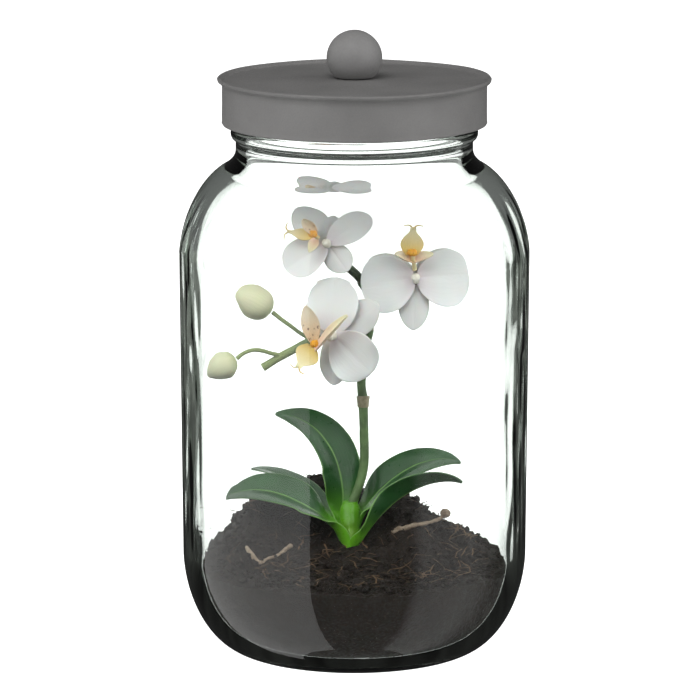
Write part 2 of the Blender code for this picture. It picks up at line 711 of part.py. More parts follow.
def sepal_outline(t):
    """Half width of an oval sepal, as a share of the widest."""
    widest = 0.52
    if t < widest:
        return 0.3 + 0.7 * (1.0 - ((widest - t) / widest) ** 2) ** 0.7
    return max(1.0 - ((t - widest) / (1.0 - widest)) ** 1.9, 0.0) ** 0.6


def tepal_rows(tepal, outline, bend, cup, height):
    """Middle points of one petal or sepal of (angle, length, half width) in the bloom's frame."""
    angle, length, half_width = tepal
    turn = math.radians(angle)
    out = Vector((math.cos(turn), math.sin(turn), 0.0))
    side = Vector((-math.sin(turn), math.cos(turn), 0.0))
    rows = []
    for t in TEPAL_STATIONS:
        row = []
        for column in range(TEPAL_COLUMNS + 1):
            share = 2.0 * column / TEPAL_COLUMNS - 1.0
            rise = height - bend * length * t * t + cup * share * share * math.sin(math.pi * t)
            place = out * (TEPAL_ROOT + (length - TEPAL_ROOT) * t) + side * (share * half_width * outline(t))
            row.append(place + Vector((0.0, 0.0, rise)))
        rows.append(row)
    return rows


def blade_object(name, rows, frame):
    """One blade of even thickness, set in place by its frame."""
    bm = bmesh.new()
    blade(bm, rows, lambda _row, _column: TEPAL_THICKNESS)
    bmesh.ops.transform(bm, matrix=frame, verts=bm.verts)
    bmesh.ops.recalc_face_normals(bm, faces=bm.faces)
    return add_object(name, bm, None)


def egg_object(name, size, centre, frame, sides=10, rings=6):
    """A ball of three half sizes about a centre, set in place by its frame."""
    bm = bmesh.new()
    bmesh.ops.create_uvsphere(bm, u_segments=sides, v_segments=rings, radius=1.0)
    bmesh.ops.scale(bm, vec=size, verts=bm.verts)
    bmesh.ops.translate(bm, vec=centre, verts=bm.verts)
    bmesh.ops.transform(bm, matrix=frame, verts=bm.verts)
    return add_object(name, bm, None)


def make_bloom(label, spec, finish):
    """Two broad petals, three sepals set behind them and the column, joined in one node."""
    frame = bloom_place(spec["centre"], spec["yaw"], spec["pitch"])
    column = egg_object("column", COLUMN_SIZE, COLUMN_CENTRE, frame)
    tepals = []
    for layer, petal in enumerate(spec["petals"]):
        rows = tepal_rows(petal, petal_outline, PETAL_BEND, PETAL_CUP, TEPAL_LAYER * layer)
        tepals.append(blade_object("petal", rows, frame))
    for layer, sepal in enumerate(spec["sepals"]):
        height = -SEPAL_SET_BACK - TEPAL_LAYER * layer
        rows = tepal_rows(sepal, sepal_outline, SEPAL_BEND, SEPAL_CUP, height)
        tepals.append(blade_object("sepal", rows, frame))
    joined("bloom_" + label, column, tepals, finish)


def lobe_rows(start, tip, half_width, facing, outline):
    """Middle points of a lobe of the lip from its start to its tip, whose face looks along facing."""
    start, tip, facing = Vector(start), Vector(tip), Vector(facing)
    side = facing.cross(tip - start).normalized()
    face = (tip - start).cross(side).normalized()
    rows = []
    for t in LIP_STATIONS:
        row = []
        for column in range(LIP_COLUMNS + 1):
            share = 2.0 * column / LIP_COLUMNS - 1.0
            place = start + (tip - start) * t + side * (share * half_width * outline(t))
            row.append(place + face * (LIP_CUP * (share * share + t * t)))
        rows.append(row)
    return rows


def mid_lobe_outline(t):
    """Half width of the arrow-shaped middle lobe, as a share of the widest."""
    return 0.4 + 0.6 * math.sin(math.pi * min(1.2 * t, 1.0)) - 0.18 * t


def side_lobe_outline(t):
    """Half width of a rounded side lobe, as a share of the widest."""
    return 0.45 + 0.55 * math.sin(math.pi * t) - 0.2 * t


def make_lip(label, spec, finish):
    """The lip: claw, callus, arrow-shaped middle lobe with two tendrils, and two upright side lobes."""
    frame = bloom_place(spec["centre"], spec["yaw"], spec["pitch"])
    callus = Vector(spec["callus"])
    foot = Vector((callus.x, callus.y, 0.0)).normalized() * LIP_CLAW_CLEARANCE
    foot.z = LIP_CLAW_HEIGHT
    first = egg_object("callus", CALLUS_SIZE, callus, frame)
    others = [tube("claw", [frame @ foot, frame @ callus], LIP_CLAW_RADIUS, steps=1, roundness=1)]
    for start, tip, half_width, facing in spec["side_lobes"]:
        rows = lobe_rows(start, tip, half_width, facing, side_lobe_outline)
        others.append(blade_object("side_lobe", rows, frame))
    start, tip, half_width = spec["mid_lobe"]
    rows = lobe_rows(start, tip, half_width, FACE_OUT, mid_lobe_outline)
    others.append(blade_object("mid_lobe", rows, frame))
    ahead = (Vector(tip) - Vector(start)).normalized()
    across = Vector(FACE_OUT).cross(ahead).normalized()
    root = Vector(tip) - ahead * 0.9 + Vector(FACE_OUT) * LIP_CUP
    for hand in (-1.0, 1.0):
        bend = root + across * (hand * 1.8) + ahead * 1.6
        end = root + across * (hand * TENDRIL_SPREAD) + ahead * 1.4
        route = [frame @ root, frame @ bend, frame @ end]
        others.append(tube("tendril", route, TENDRIL_RADIUS, steps=1, roundness=1))
    joined("lip_" + label, first, others, finish)


def make_bedded(name, route, radius, knob, finish):
    """A rod lying half sunk in the soil, with a round knob at its end, and the cutter of its bed."""
    solids = []
    for extra in (0.0, BED_CLEARANCE):
        ends = [Vector(point) for point in (route[0], route[1], route[-1], route[-2])]
        first = ends[0] + (ends[0] - ends[1]).normalized() * extra
        last = ends[2] + (ends[2] - ends[3]).normalized() * extra
        rod = tube(name, [first, *route[1:-1], last], radius + extra, steps=2, roundness=1)
        rod.data.materials.clear()
        rod.data.materials.append(finish)
        if knob:
            end = egg_object("knob", (knob + extra,) * 3, route[-1], Matrix.Identity(4))
            rod = joined(name, rod, [end], finish)
        solids.append(rod)
    solids[1].name = name + "_bed"
    return solids[1]


def main():
    clear_scene()
    glass = material("clear_glass", (0.93, 0.95, 0.93), 0.02, transmission=1.0)
    grey_paint = material("grey_paint", (0.10, 0.10, 0.10), 0.55)
    knob_paint = material("knob_paint", (0.13, 0.13, 0.13), 0.6)
    steel = material("zinc_steel", (0.62, 0.62, 0.60), 0.35, metallic=1.0)
    peat = material("peat", (0.022, 0.014, 0.010), 0.95)
    sheath = material("sheath_green", (0.20, 0.42, 0.04), 0.4)
    leaf_green = material("leaf_green", (0.03, 0.13, 0.03), 0.3)
    stem_green = material("stem_green", (0.10, 0.16, 0.05), 0.5)
    bud_cream = material("bud_cream", (0.66, 0.68, 0.45), 0.5)
    petal_white = material("petal_white", (0.86, 0.83, 0.84), 0.55)
    lip_yellow = material("lip_yellow", (0.80, 0.66, 0.38), 0.5)
    bark = material("pale_bark", (0.36, 0.27, 0.20), 0.9)
    make_jar(glass)
    make_lid(grey_paint)
    make_knob(knob_paint)
    make_screw(steel)
    root_route = [(x, y, soil_height(x, y) + ROOT_RISE) for x, y in ROOT_PLACES]
    bedded = [
        make_bedded("bark_strip", BARK_ROUTE, BARK_RADIUS, BARK_KNOB_RADIUS, bark),
        make_bedded("dry_root", root_route, ROOT_RADIUS, 0.0, bark),
    ]
    make_soil(peat, bedded)
    make_crown(sheath)
    for name, leaf in LEAVES.items():
        make_leaf(name, leaf["path"], leaf["half_width"], leaf["fold"], leaf["roll"], leaf_green)
    make_spike(stem_green)
    for name, bud in BUDS.items():
        make_bud(name, bud["foot"], bud["tip"], bud["half_width"], bud_cream)
    for label, spec in BLOOMS.items():
        make_bloom(label, spec, petal_white)
        make_lip(label, spec, lip_yellow)


main()
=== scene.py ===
"""Looks of a miniature white orchid growing in peat inside a large glass jar with a grey cover.

The file is laid out as an add-on: each operator makes one piece or one group of like pieces, and main()
runs them in order. Sizes are millimetres and degrees in the frame of the solids, +Z up and the blooms
facing -Y. Every mesh is written in metres.
"""
import math
import random

import bmesh
import bpy
from bpy.props import FloatProperty, FloatVectorProperty, IntProperty, PointerProperty
from mathutils import Matrix, Vector, noise


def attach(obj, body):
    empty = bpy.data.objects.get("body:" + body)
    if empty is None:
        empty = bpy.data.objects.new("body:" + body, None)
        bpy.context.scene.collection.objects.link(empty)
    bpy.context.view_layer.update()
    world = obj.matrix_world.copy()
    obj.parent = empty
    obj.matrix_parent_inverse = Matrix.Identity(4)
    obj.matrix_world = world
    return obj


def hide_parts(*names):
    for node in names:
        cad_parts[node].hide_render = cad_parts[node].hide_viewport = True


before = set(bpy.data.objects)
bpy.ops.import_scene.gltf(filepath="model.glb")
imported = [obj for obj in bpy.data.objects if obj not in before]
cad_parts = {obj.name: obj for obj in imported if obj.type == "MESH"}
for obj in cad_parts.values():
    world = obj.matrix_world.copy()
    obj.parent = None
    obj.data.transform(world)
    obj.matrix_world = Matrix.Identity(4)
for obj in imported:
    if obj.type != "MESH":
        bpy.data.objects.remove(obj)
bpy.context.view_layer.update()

bl_info = {
    "name": "Orchid in Glass Jar",
    "version": (1, 0, 0),
    "blender": (4, 5, 0),
    "location": "View3D > Sidebar > Orchid Jar",
    "description": "Models a potted orchid in a lidded glass jar around its fixed solids",
    "category": "Object",
}

BODY = "root"
MM = 0.001
UP = Vector((0.0, 0.0, 1.0))

# Jar, outside
PUSH_UP = 1.2
PUSH_UP_RADIUS = 42.0
CONTACT_INNER_RADIUS = 44.5
CONTACT_RADIUS = 51.6
HEEL_HEIGHT = 45.8
HEEL_RADIUS = 79.1
HEEL_POWER = 1.86
SHOULDER_START = 184.2
BODY_RADIUS = 80.0
SHOULDER_TOP = 226.2
SHOULDER_POWER = 1.73
NECK_RADIUS = 54.0
NECK_HEIGHT = 232.6
BEAD_RADIUS = 56.3
BEAD_HEIGHT = 240.0
BEAD_HALF_HEIGHT = 2.4
FINISH_RADIUS = 56.6
RIM_RADIUS = 58.6
RIM_START = 257.5
RIM_TOP = 262.6
RIM_ROUND = 1.2

# Jar, inside
FLOOR_HEIGHT = 7.4
FLOOR_RADIUS = 50.0
INNER_HEEL_RADIUS = 71.3
INNER_HEEL_HEIGHT = 46.0
INNER_BODY_RADIUS = 72.0
INNER_SHOULDER_TOP = 219.5
MOUTH_RADIUS = 49.0
JAR_SIDES = 256
CURVE_STEPS = 26
WALL_STEPS = 40
BETWEEN_WALLS = 75.5
SEAM_SPREAD = 30.0

# Cover, knob and screw
LIP_RADIUS = 62.4
SKIRT_RADIUS = 60.3
SKIRT_BOTTOM = 244.2
SHEET = 1.0
PLATE_HEIGHT = 264.2
PLATE_CROWN = 0.8
SCREW_HOLE_RADIUS = 2.3
COVER_SIDES = 224
KNOB_CENTRE = 274.0
KNOB_SEAT = 265.3

# Soil: level at the glass, then heaps of (x, y, height, spread in x, spread in front, spread behind)
SOIL_LEVEL = 41.0
SOIL_HEAPS = (
    (-8.0, 20.0, 26.0, 32.0, 16.0, 30.0),
    (-45.0, 4.0, 16.0, 10.5, 15.0, 26.0),
    (24.0, 3.0, 12.0, 13.5, 13.0, 26.0),
    (52.0, 2.0, 4.2, 6.5, 12.0, 20.0),
    (-19.0, 24.0, 9.5, 5.5, 5.5, 7.0),
)
SOIL_GRAIN = 1.3
SOIL_GRAIN_SIZE = 9.0
SOIL_RINGS = 112
SOIL_SIDES = 300
SOIL_WALL_STEPS = 46
SOIL_ABOVE_ALL = 90.0
SOIL_TO_GLASS = 0.3

# Crown: half widths across and front to back at each height
PLANT_X = -2.0
PLANT_Y = -3.0
CROWN_SECTIONS = (
    (37.4, 2.6, 2.6),
    (44.0, 3.5, 3.4),
    (50.0, 4.3, 4.0),
    (55.0, 6.0, 4.6),
    (60.0, 7.0, 5.0),
    (65.0, 6.6, 4.8),
    (69.0, 4.6, 3.8),
)

# Leaves: the midrib as a cubic, then half width, fold and roll
LEAF_FOOT = 0.10
LEAF_BASE_FOLD = 12.0
LEAF_TIP_FOLD = 18.0
LEAF_FULL_FOLD = 0.35
LEAF_ROLL_START = 0.3
LEAF_END = 0.99
LEAF_ROOTED = 0.16
LEAF_ROOT_WRAP = 95.0
CROWN_FOOT = (-2.0, -3.0, 45.5)
CROWN_SLIM = 0.74
LEAF_RIB_THICKNESS = 1.5
LEAF_EDGE_SHARE = 0.42
LEAVES = {
    "leaf_1": {
        "path": ((-5.4, 4.4, 62.0), (-4.6, 8.0, 86.0), (-15.0, 11.0, 106.0), (-37.6, 12.0, 107.0)),
        "half_width": 12.2, "fold": 35.0, "roll": 38.0,
    },
    "leaf_2": {
        "path": ((-10.8, -4.4, 58.6), (-24.0, -7.0, 69.4), (-45.0, -7.0, 81.0), (-60.0, -5.0, 70.2)),
        "half_width": 11.9, "fold": 37.0, "roll": 32.0,
    },
    "leaf_3": {
        "path": ((-11.4, 3.4, 60.0), (-19.4, 11.4, 68.0), (-36.0, 17.0, 79.6), (-49.4, 21.0, 79.0)),
        "half_width": 8.6, "fold": 34.0, "roll": 4.0,
    },
    "leaf_4": {
        "path": ((4.6, 1.6, 63.0), (14.0, 5.0, 77.0), (34.0, 8.0, 91.0), (50.5, 8.0, 84.5)),
        "half_width": 10.6, "fold": 36.0, "roll": -32.0,
    },
    "leaf_5": {
        "path": ((5.4, -7.4, 55.6), (16.0, -11.0, 71.4), (34.0, -11.0, 85.0), (50.0, -9.0, 79.2)),
        "half_width": 10.2, "fold": 38.0, "roll": 34.0,
    },
}

# Flower stem, its side branch and the stalks: routes and radii
STEM_RADIUS = 2.15
BRANCH_RADIUS = 1.95
STALK_RADIUS = 1.1
BUD_STALK_RADIUS = 0.9
STEM_ROUTE = (
    (-1.9, -2.9, 60.8), (-1.3, -2.5, 67.0), (2.2, -0.6, 76.0), (4.4, 0.5, 86.0), (4.4, 0.8, 100.0),
    (4.0, 1.0, 114.8), (3.2, 1.2, 125.0), (4.8, 1.4, 138.0), (6.4, 1.2, 148.5), (6.8, 0.6, 163.4),
    (2.0, -1.0, 172.8), (-4.4, -3.0, 179.6),
)
STEM_NODES = (115.5, 148.5)
NODE_SWELL = 1.22
NODE_SPREAD = 2.6
BRANCH_ROUTE = (
    (6.2, 1.2, 148.0), (-4.0, 1.6, 146.6), (-18.0, 1.0, 144.2), (-30.0, 0.0, 138.6), (-42.2, -1.0, 131.6),
)
UPPER_BUD_STALK = ((-16.0, 1.0, 144.0), (-22.4, 2.0, 145.6), (-30.0, 3.0, 150.6), (-37.8, 3.7, 156.5))
LOWER_BUD_STALK = (
    (-33.0, -0.4, 137.0), (-38.0, -2.4, 138.4), (-45.0, -4.2, 140.4), (-50.6, -5.0, 139.0),
    (-53.8, -5.3, 136.6),
)
FRONT_STALK = ((6.4, 1.2, 149.0), (1.6, -1.6, 150.0), (-4.6, -6.2, 149.4), (-7.9, -9.4, 148.7))
RIGHT_STALK = ((7.2, 0.8, 158.0), (14.0, 0.6, 162.6), (22.0, -0.2, 168.4), (27.2, -1.6, 172.2))
TOP_STALK = ((-2.0, -2.0, 177.0), (-6.2, -1.2, 182.0), (-9.6, -1.0, 186.4), (-11.6, -3.4, 189.0))
STEM_VOXEL = 0.34

# Buds: where the stalk meets them, where they point and their half width
BUDS = {
    "bud_upper": {"foot": (-38.2, 3.7, 156.8), "tip": (-54.4, 3.0, 166.4), "half_width": 7.6},
    "bud_lower": {"foot": (-54.2, -5.3, 136.4), "tip": (-66.8, -6.6, 129.6), "half_width": 6.1},
}
BUD_SEAMS = 3
BUD_SEAM_DEPTH = 0.045

# Blooms: angles are counter-clockwise from the viewer's right, seen from the front of the bloom
BLOOMS = {
    "front": {
        "centre": (-9.4, -13.0, 149.0), "yaw": 22.0, "pitch": 4.0,
        "petals": ((93.0, 25.6, 12.6), (-42.0, 24.5, 12.2)),
        "sepals": ((37.0, 25.6, 8.0), (-92.0, 23.5, 7.4), (138.0, 20.0, 7.2)),
        "callus": (-6.4, -3.6, 6.4),
        "mid_lobe": ((-7.4, -5.0, 6.4), (-13.0, -15.0, 9.0), 6.4),
        "side_lobes": (
            ((-6.8, -2.6, 6.6), (-10.8, 13.8, 8.6), 4.6, (0.5, 0.1, 0.86)),
            ((-5.6, -6.8, 7.4), (11.0, 10.2, 8.8), 3.2, (-0.75, 0.3, 0.6)),
        ),
    },
    "right": {
        "centre": (27.8, -6.0, 173.4), "yaw": -4.0, "pitch": 12.0,
        "petals": ((188.0, 25.0, 13.2), (2.0, 25.0, 13.2)),
        "sepals": ((-93.0, 23.0, 7.2), (157.0, 23.0, 7.2), (32.0, 23.0, 7.2)),
        "callus": (-2.0, 12.0, 7.4),
        "mid_lobe": ((-2.4, 10.6, 6.6), (-1.6, 24.0, 8.6), 5.8),
        "side_lobes": (
            ((-1.4, 7.6, 5.2), (-10.6, 10.8, 7.6), 3.2, (0.1, 0.6, 0.8)),
            ((-1.0, 7.6, 5.2), (7.6, 10.4, 7.6), 3.0, (-0.1, 0.6, 0.8)),
        ),
    },
    "top": {
        "centre": (-12.4, -7.0, 190.4), "yaw": 12.0, "pitch": 20.0,
        "petals": ((-146.0, 23.0, 9.4), (38.0, 24.0, 7.4)),
        "sepals": ((-52.0, 16.4, 6.6), (84.0, 15.0, 5.0), (131.0, 25.0, 8.4)),
        "callus": (-5.6, 3.4, 5.6),
        "mid_lobe": ((-5.0, 2.4, 5.4), (-17.0, 3.6, 7.0), 3.2),
        "side_lobes": (
            ((-4.2, 3.6, 5.4), (-10.4, 10.0, 7.4), 3.0, (0.3, -0.3, 0.9)),
            ((-4.2, 1.0, 5.2), (-6.4, -6.4, 8.0), 2.6, (0.4, 0.3, 0.85)),
        ),
    },
}
TEPAL_ROOT = 0.6
TEPAL_LAYER = 0.34
TEPAL_THICKNESS = 0.7
PETAL_BEND = 0.10
PETAL_CUP = 1.6
PETAL_RIPPLE = 0.55
SEPAL_BEND = 0.06
SEPAL_CUP = -1.0
SEPAL_SET_BACK = 1.3
SEPAL_RIPPLE = 0.25
COLUMN_SIZE = (2.1, 2.3, 4.0)
COLUMN_CENTRE = (0.0, 0.0, 0.6)
CALLUS_SIZE = (1.5, 1.8, 1.6)
TENDRIL_RADIUS = 0.4
TENDRIL_SPREAD = 4.4
LIP_CLAW_RADIUS = 1.0
LIP_CLAW_CLEARANCE = 3.9
LIP_CLAW_HEIGHT = 3.2
LIP_CUP = 0.9

# Pale pieces lying in the soil
BARK_ROUTE = (
    (17.0, -4.6, 54.6), (20.0, -4.2, 56.0), (25.0, -4.0, 57.3), (33.6, -3.0, 58.9), (39.3, -2.4, 60.6),
    (42.0, -2.0, 63.2),
)
BARK_RADIUS = 1.3
BARK_KNOB_RADIUS = 2.4
ROOT_PLACES = (
    (-49.0, -14.0), (-46.0, -19.0), (-42.9, -23.0), (-38.5, -19.5), (-34.6, -16.0), (-29.1, -8.0),
)
ROOT_RADIUS = 1.1
ROOT_RISE = 0.5

# Camera: the view of the photograph, whose frame is 700 pixels square
FRAME_PIXELS = 700.0
SENSOR = 36.0
LENS = 246.5
CAMERA_DISTANCE = 2200.0
CAMERA_ELEVATION = 11.5
AIM_HEIGHT = 130.0
AIM_PIXEL = (354.4, 369.1)
CARD_DISTANCE = 1.6
LIGHT_DISTANCE = 1.6


class OrchidJarGlass(bpy.types.PropertyGroup):
    """Sizes and colour of the jar's glass."""
    tint: FloatVectorProperty(
        name="Tint", description="Colour that thick glass takes", subtype="COLOR",
        default=(0.80, 0.88, 0.82), min=0.0, max=1.0,
    )
    density: FloatProperty(name="Tint Density", description="How fast the tint builds up, per metre", default=42.0)
    wave: FloatProperty(
        name="Wall Waves", description="Height of the waves all round the inner wall, in millimetres", default=0.016,
    )
    seam_wave: FloatProperty(
        name="Seam Waves", description="Height of the waves by the mould's seams, in millimetres", default=0.42,
    )


class OrchidJarCover(bpy.types.PropertyGroup):
    """Colours of the cover and its knob."""
    paint: FloatVectorProperty(
        name="Cover Paint", description="Grey of the pressed cover", subtype="COLOR",
        default=(0.118, 0.116, 0.114), min=0.0, max=1.0,
    )
    knob_paint: FloatVectorProperty(
        name="Knob Paint", description="Grey of the ball knob", subtype="COLOR",
        default=(0.150, 0.148, 0.146), min=0.0, max=1.0,
    )
    knob_radius: FloatProperty(
        name="Knob Radius", description="Radius of the ball, in millimetres", default=12.7,
    )


class OrchidJarSoil(bpy.types.PropertyGroup):
    """Colour and crumbs of the peat."""
    dark: FloatVectorProperty(
        name="Damp Peat", description="Darkest peat", subtype="COLOR",
        default=(0.0042, 0.0030, 0.0029), min=0.0, max=1.0,
    )
    light: FloatVectorProperty(
        name="Dry Peat", description="Brown of the dry fibres", subtype="COLOR",
        default=(0.040, 0.024, 0.016), min=0.0, max=1.0,
    )
    crumbs: IntProperty(name="Crumbs", description="Number of loose crumbs on the peat", default=3200)
    fibres: IntProperty(name="Fibres", description="Number of loose fibres on the peat", default=300)
    seed: IntProperty(name="Seed", description="Start of the random draws", default=11)


class OrchidJarPlant(bpy.types.PropertyGroup):
    """Colours of the plant."""
    leaf: FloatVectorProperty(
        name="Leaf", description="Dark green of a leaf's face", subtype="COLOR",
        default=(0.0075, 0.046, 0.0085), min=0.0, max=1.0,
    )
    # Also the colour of the painted highlight along the leaf edges.
    rib: FloatVectorProperty(
        name="Midrib", description="Pale green along a leaf's middle", subtype="COLOR",
        default=(0.20, 0.38, 0.10), min=0.0, max=1.0,
    )
    sheath: FloatVectorProperty(
        name="Sheath", description="Bright green at the foot of the leaves", subtype="COLOR",
        default=(0.11, 0.34, 0.012), min=0.0, max=1.0,
    )
    stem: FloatVectorProperty(
        name="Stem", description="Green of the flower stem", subtype="COLOR",
        default=(0.075, 0.125, 0.045), min=0.0, max=1.0,
    )
    bud: FloatVectorProperty(
        name="Bud", description="Cream green of the buds", subtype="COLOR",
        default=(0.66, 0.66, 0.44), min=0.0, max=1.0,
    )
    petal: FloatVectorProperty(
        name="Petal", description="White of the petals", subtype="COLOR",
        default=(0.83, 0.81, 0.82), min=0.0, max=1.0,
    )
    lip: FloatVectorProperty(
        name="Lip", description="Cream of the lips", subtype="COLOR",
        default=(0.82, 0.72, 0.46), min=0.0, max=1.0,
    )


class OrchidJarStage(bpy.types.PropertyGroup):
    """Strength of the lights and of the white round the jar."""
    white: FloatProperty(name="White", description="Brightness of the background", default=1.7)
    ambient: FloatProperty(name="Ambient", description="Soft light from all round", default=0.32)
    flags: FloatProperty(name="Flags", description="Brightness of the dark flags round the table", default=0.03)
    edge: FloatProperty(name="Edge", description="Brightness that the edges of the glass pick up", default=0.26)
    left: FloatProperty(name="Left Light", description="Radiance of the light on the left", default=1.5)
    right: FloatProperty(name="Right Light", description="Radiance of the light on the right", default=2.4)
    top: FloatProperty(name="Top Light", description="Radiance of the light above", default=6.5)
    left_card: FloatProperty(name="Left Card", description="Brightness of the left card in the glass", default=1.25)
    right_card: FloatProperty(name="Right Card", description="Brightness of the right card in the glass", default=0.75)


def start_clean():
    """Leave edit mode and select nothing."""
    if bpy.context.mode != "OBJECT":
        bpy.ops.object.mode_set(mode="OBJECT")
    bpy.ops.object.select_all(action="DESELECT")


def named(name):
    """Name the object that an operator has just added."""
    item = bpy.context.object
    item.name = name
    item.data.name = name
    return item


def pick(item):
    """Make an object the only selected and active one."""
    start_clean()
    item.select_set(True)
    bpy.context.view_layer.objects.active = item


def modify(item, kind, **settings):
    """Add a modifier, set it up and apply it."""
    pick(item)
    change = item.modifiers.new(kind.lower(), kind)
    for key, value in settings.items():
        setattr(change, key, value)
    bpy.ops.object.modifier_apply(modifier=change.name)
    return item


def subdivided(item, levels=1):
    """Subdivide a piece smoothly."""
    return modify(item, "SUBSURF", levels=levels, render_levels=levels)


def reshaped(item, rule):
    """Move every vertex by a rule on its place in millimetres."""
    for vertex in item.data.vertices:
        vertex.co = rule(vertex.co / MM) * MM
    item.data.update()
    return item


def joined(name, items):
    """Join objects into one, under a name."""
    pick(items[0])
    for item in items:
        item.select_set(True)
    bpy.ops.object.join()
    return named(name)


def dressed(item, *finishes):
    """Give an object its materials, and use the first all over."""
    item.data.materials.clear()
    for finish in finishes:
        item.data.materials.append(finish)
    return item


def placed(piece, slot, *nodes, sharp=60.0):
    """Shade a finished piece, let it ride with the jar, and hide the solids that it stands for. Its slot is not used.
    """
    pick(piece)
    bpy.ops.object.shade_smooth_by_angle(angle=math.radians(sharp))
    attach(piece, BODY)
    if nodes:
        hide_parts(*nodes)
    return piece


def turned(name, section, sides):
    """A body turned about Z from a section of (radius, height) that ends on the axis or closes."""
    start_clean()
    bpy.ops.mesh.primitive_plane_add(size=MM)
    item = named(name)
    bpy.ops.object.mode_set(mode="EDIT")
    bpy.ops.mesh.select_mode(type="VERT")
    bpy.ops.mesh.select_all(action="SELECT")
    bpy.ops.mesh.merge(type="CENTER")
    place = Vector((section[0][0], 0.0, section[0][1])) * MM
    bpy.ops.transform.translate(value=place)
    for radius, height in section[1:]:
        target = Vector((radius, 0.0, height)) * MM
        bpy.ops.mesh.extrude_region_move(TRANSFORM_OT_translate={"value": target - place})
        place = target
    bpy.ops.mesh.select_all(action="SELECT")
    bpy.ops.mesh.spin(steps=sides, angle=math.tau, center=(0.0, 0.0, 0.0), axis=UP)
    bpy.ops.mesh.select_all(action="SELECT")
    bpy.ops.mesh.remove_doubles(threshold=0.01 * MM)
    bpy.ops.mesh.normals_make_consistent(inside=False)
    bpy.ops.object.mode_set(mode="OBJECT")
    return item


def ball(name, sides, rings):
    """A round ball of radius 1 mm about the origin, to be shaped."""
    start_clean()
    bpy.ops.mesh.primitive_uv_sphere_add(segments=sides, ring_count=rings, radius=MM)
    return named(name)


def blade(name, columns, rows, rule, thickness, edge=1.0, levels=1):
    """A thin blade. rule(share, t) gives its middle surface, share -1 to 1 across and t 0 to 1 along."""
    start_clean()
    bpy.ops.mesh.primitive_grid_add(x_subdivisions=columns, y_subdivisions=rows, size=2.0, calc_uvs=True)
    item = named(name)
    middle = item.vertex_groups.new(name="middle")
    for vertex in item.data.vertices:
        share, t = vertex.co.x, 0.5 * (vertex.co.y + 1.0)
        middle.add([vertex.index], 1.0 - abs(share) ** 1.5, "REPLACE")
        vertex.co = rule(share, t) * MM
    item.data.update()
    modify(
        item, "SOLIDIFY", thickness=thickness * MM, offset=0.0, vertex_group="middle",
        thickness_vertex_group=edge,
    )
    return subdivided(item, levels)


def smooth_route(points, steps):
    """Points on a smooth curve through the given ones."""
    knots = [Vector(point) for point in points]
    knots = [2.0 * knots[0] - knots[1]] + knots + [2.0 * knots[-1] - knots[-2]]
    route = []
    for before, start, end, after in zip(knots, knots[1:], knots[2:], knots[3:]):
        for step in range(steps):
            t = step / steps
            route.append(0.5 * (
                2.0 * start + (end - before) * t
                + (2.0 * before - 5.0 * start + 4.0 * end - after) * t * t
                + (3.0 * start - before - 3.0 * end + after) * t ** 3
            ))
    route.append(knots[-2])
    return route


def rod(name, points, radius, swell=None, steps=6, roundness=4):
    """A capped round rod along a smooth route. swell(place, t) multiplies its radius."""
    route = smooth_route(points, steps)
    start_clean()
    bpy.ops.curve.primitive_bezier_curve_add(radius=MM)
    item = named(name)
    curve = item.data
    curve.splines.clear()
    curve.bevel_depth = radius * MM
    curve.bevel_resolution = roundness
    curve.use_fill_caps = True
    spline = curve.splines.new("POLY")
    spline.points.add(len(route) - 1)
    for index, (point, place) in enumerate(zip(spline.points, route)):
        point.co = (*(place * MM), 1.0)
        point.radius = swell(place, index / (len(route) - 1)) if swell else 1.0
    bpy.ops.object.convert(target="MESH")
    return named(name)


def ease(value, start, end):
    """A smooth step from 0 at start to 1 at end."""
    share = min(max((value - start) / (end - start), 0.0), 1.0)
    return share * share * (3.0 - 2.0 * share)


def waves(place, size):
    """Smooth noise of about -1 to 1 whose features are size millimetres wide."""
    return noise.noise(place / size)


class Tree:
    """A material or group being wired: adds nodes and links them by socket."""

    def __init__(self, tree):
        self.tree = tree

    def add(self, kind, inputs=None, **settings):
        """Add a node, set its properties, and set or link its inputs."""
        node = self.tree.nodes.new(kind)
        for key, value in settings.items():
            setattr(node, key, value)
        for key, value in (inputs or {}).items():
            self.feed(node, key, value)
        return node

    def feed(self, node, key, value):
        """Set an input, or link a socket to it."""
        if isinstance(value, bpy.types.NodeSocket):
            self.tree.links.new(value, node.inputs[key])
        elif isinstance(value, tuple) and len(value) == 3 and node.inputs[key].type == "RGBA":
            node.inputs[key].default_value = (*value, 1.0)
        else:
            node.inputs[key].default_value = value

    def math(self, operation, first, second=0.5, clamp=False):
        """The result of a Math node."""
        made = self.add("ShaderNodeMath", {0: first, 1: second}, operation=operation, use_clamp=clamp)
        return made.outputs[0]

    def mix(self, factor, first, second, blend="MIX"):
        """Mix two colours."""
        made = self.add(
            "ShaderNodeMix", {"Factor": factor, 6: first, 7: second}, data_type="RGBA", blend_type=blend,
        )
        return made.outputs[2]

    def span(self, value, low, high, to_low=0.0, to_high=1.0):
        """Map a value from one range to another, held at the ends."""
        made = self.add("ShaderNodeMapRange", {0: value, 1: low, 2: high, 3: to_low, 4: to_high})
        return made.outputs[0]

    def group(self, name, **inputs):
        """Place a node group with its own values."""
        made = self.add("ShaderNodeGroup", node_tree=bpy.data.node_groups[name])
        for key, value in inputs.items():
            self.feed(made, key.replace("_", " ").title(), value)
        return made

    def bump(self, height, strength, distance):
        """The normal of a bump from a height."""
        made = self.add("ShaderNodeBump", {"Height": height, "Strength": strength, "Distance": distance * MM})
        return made.outputs["Normal"]


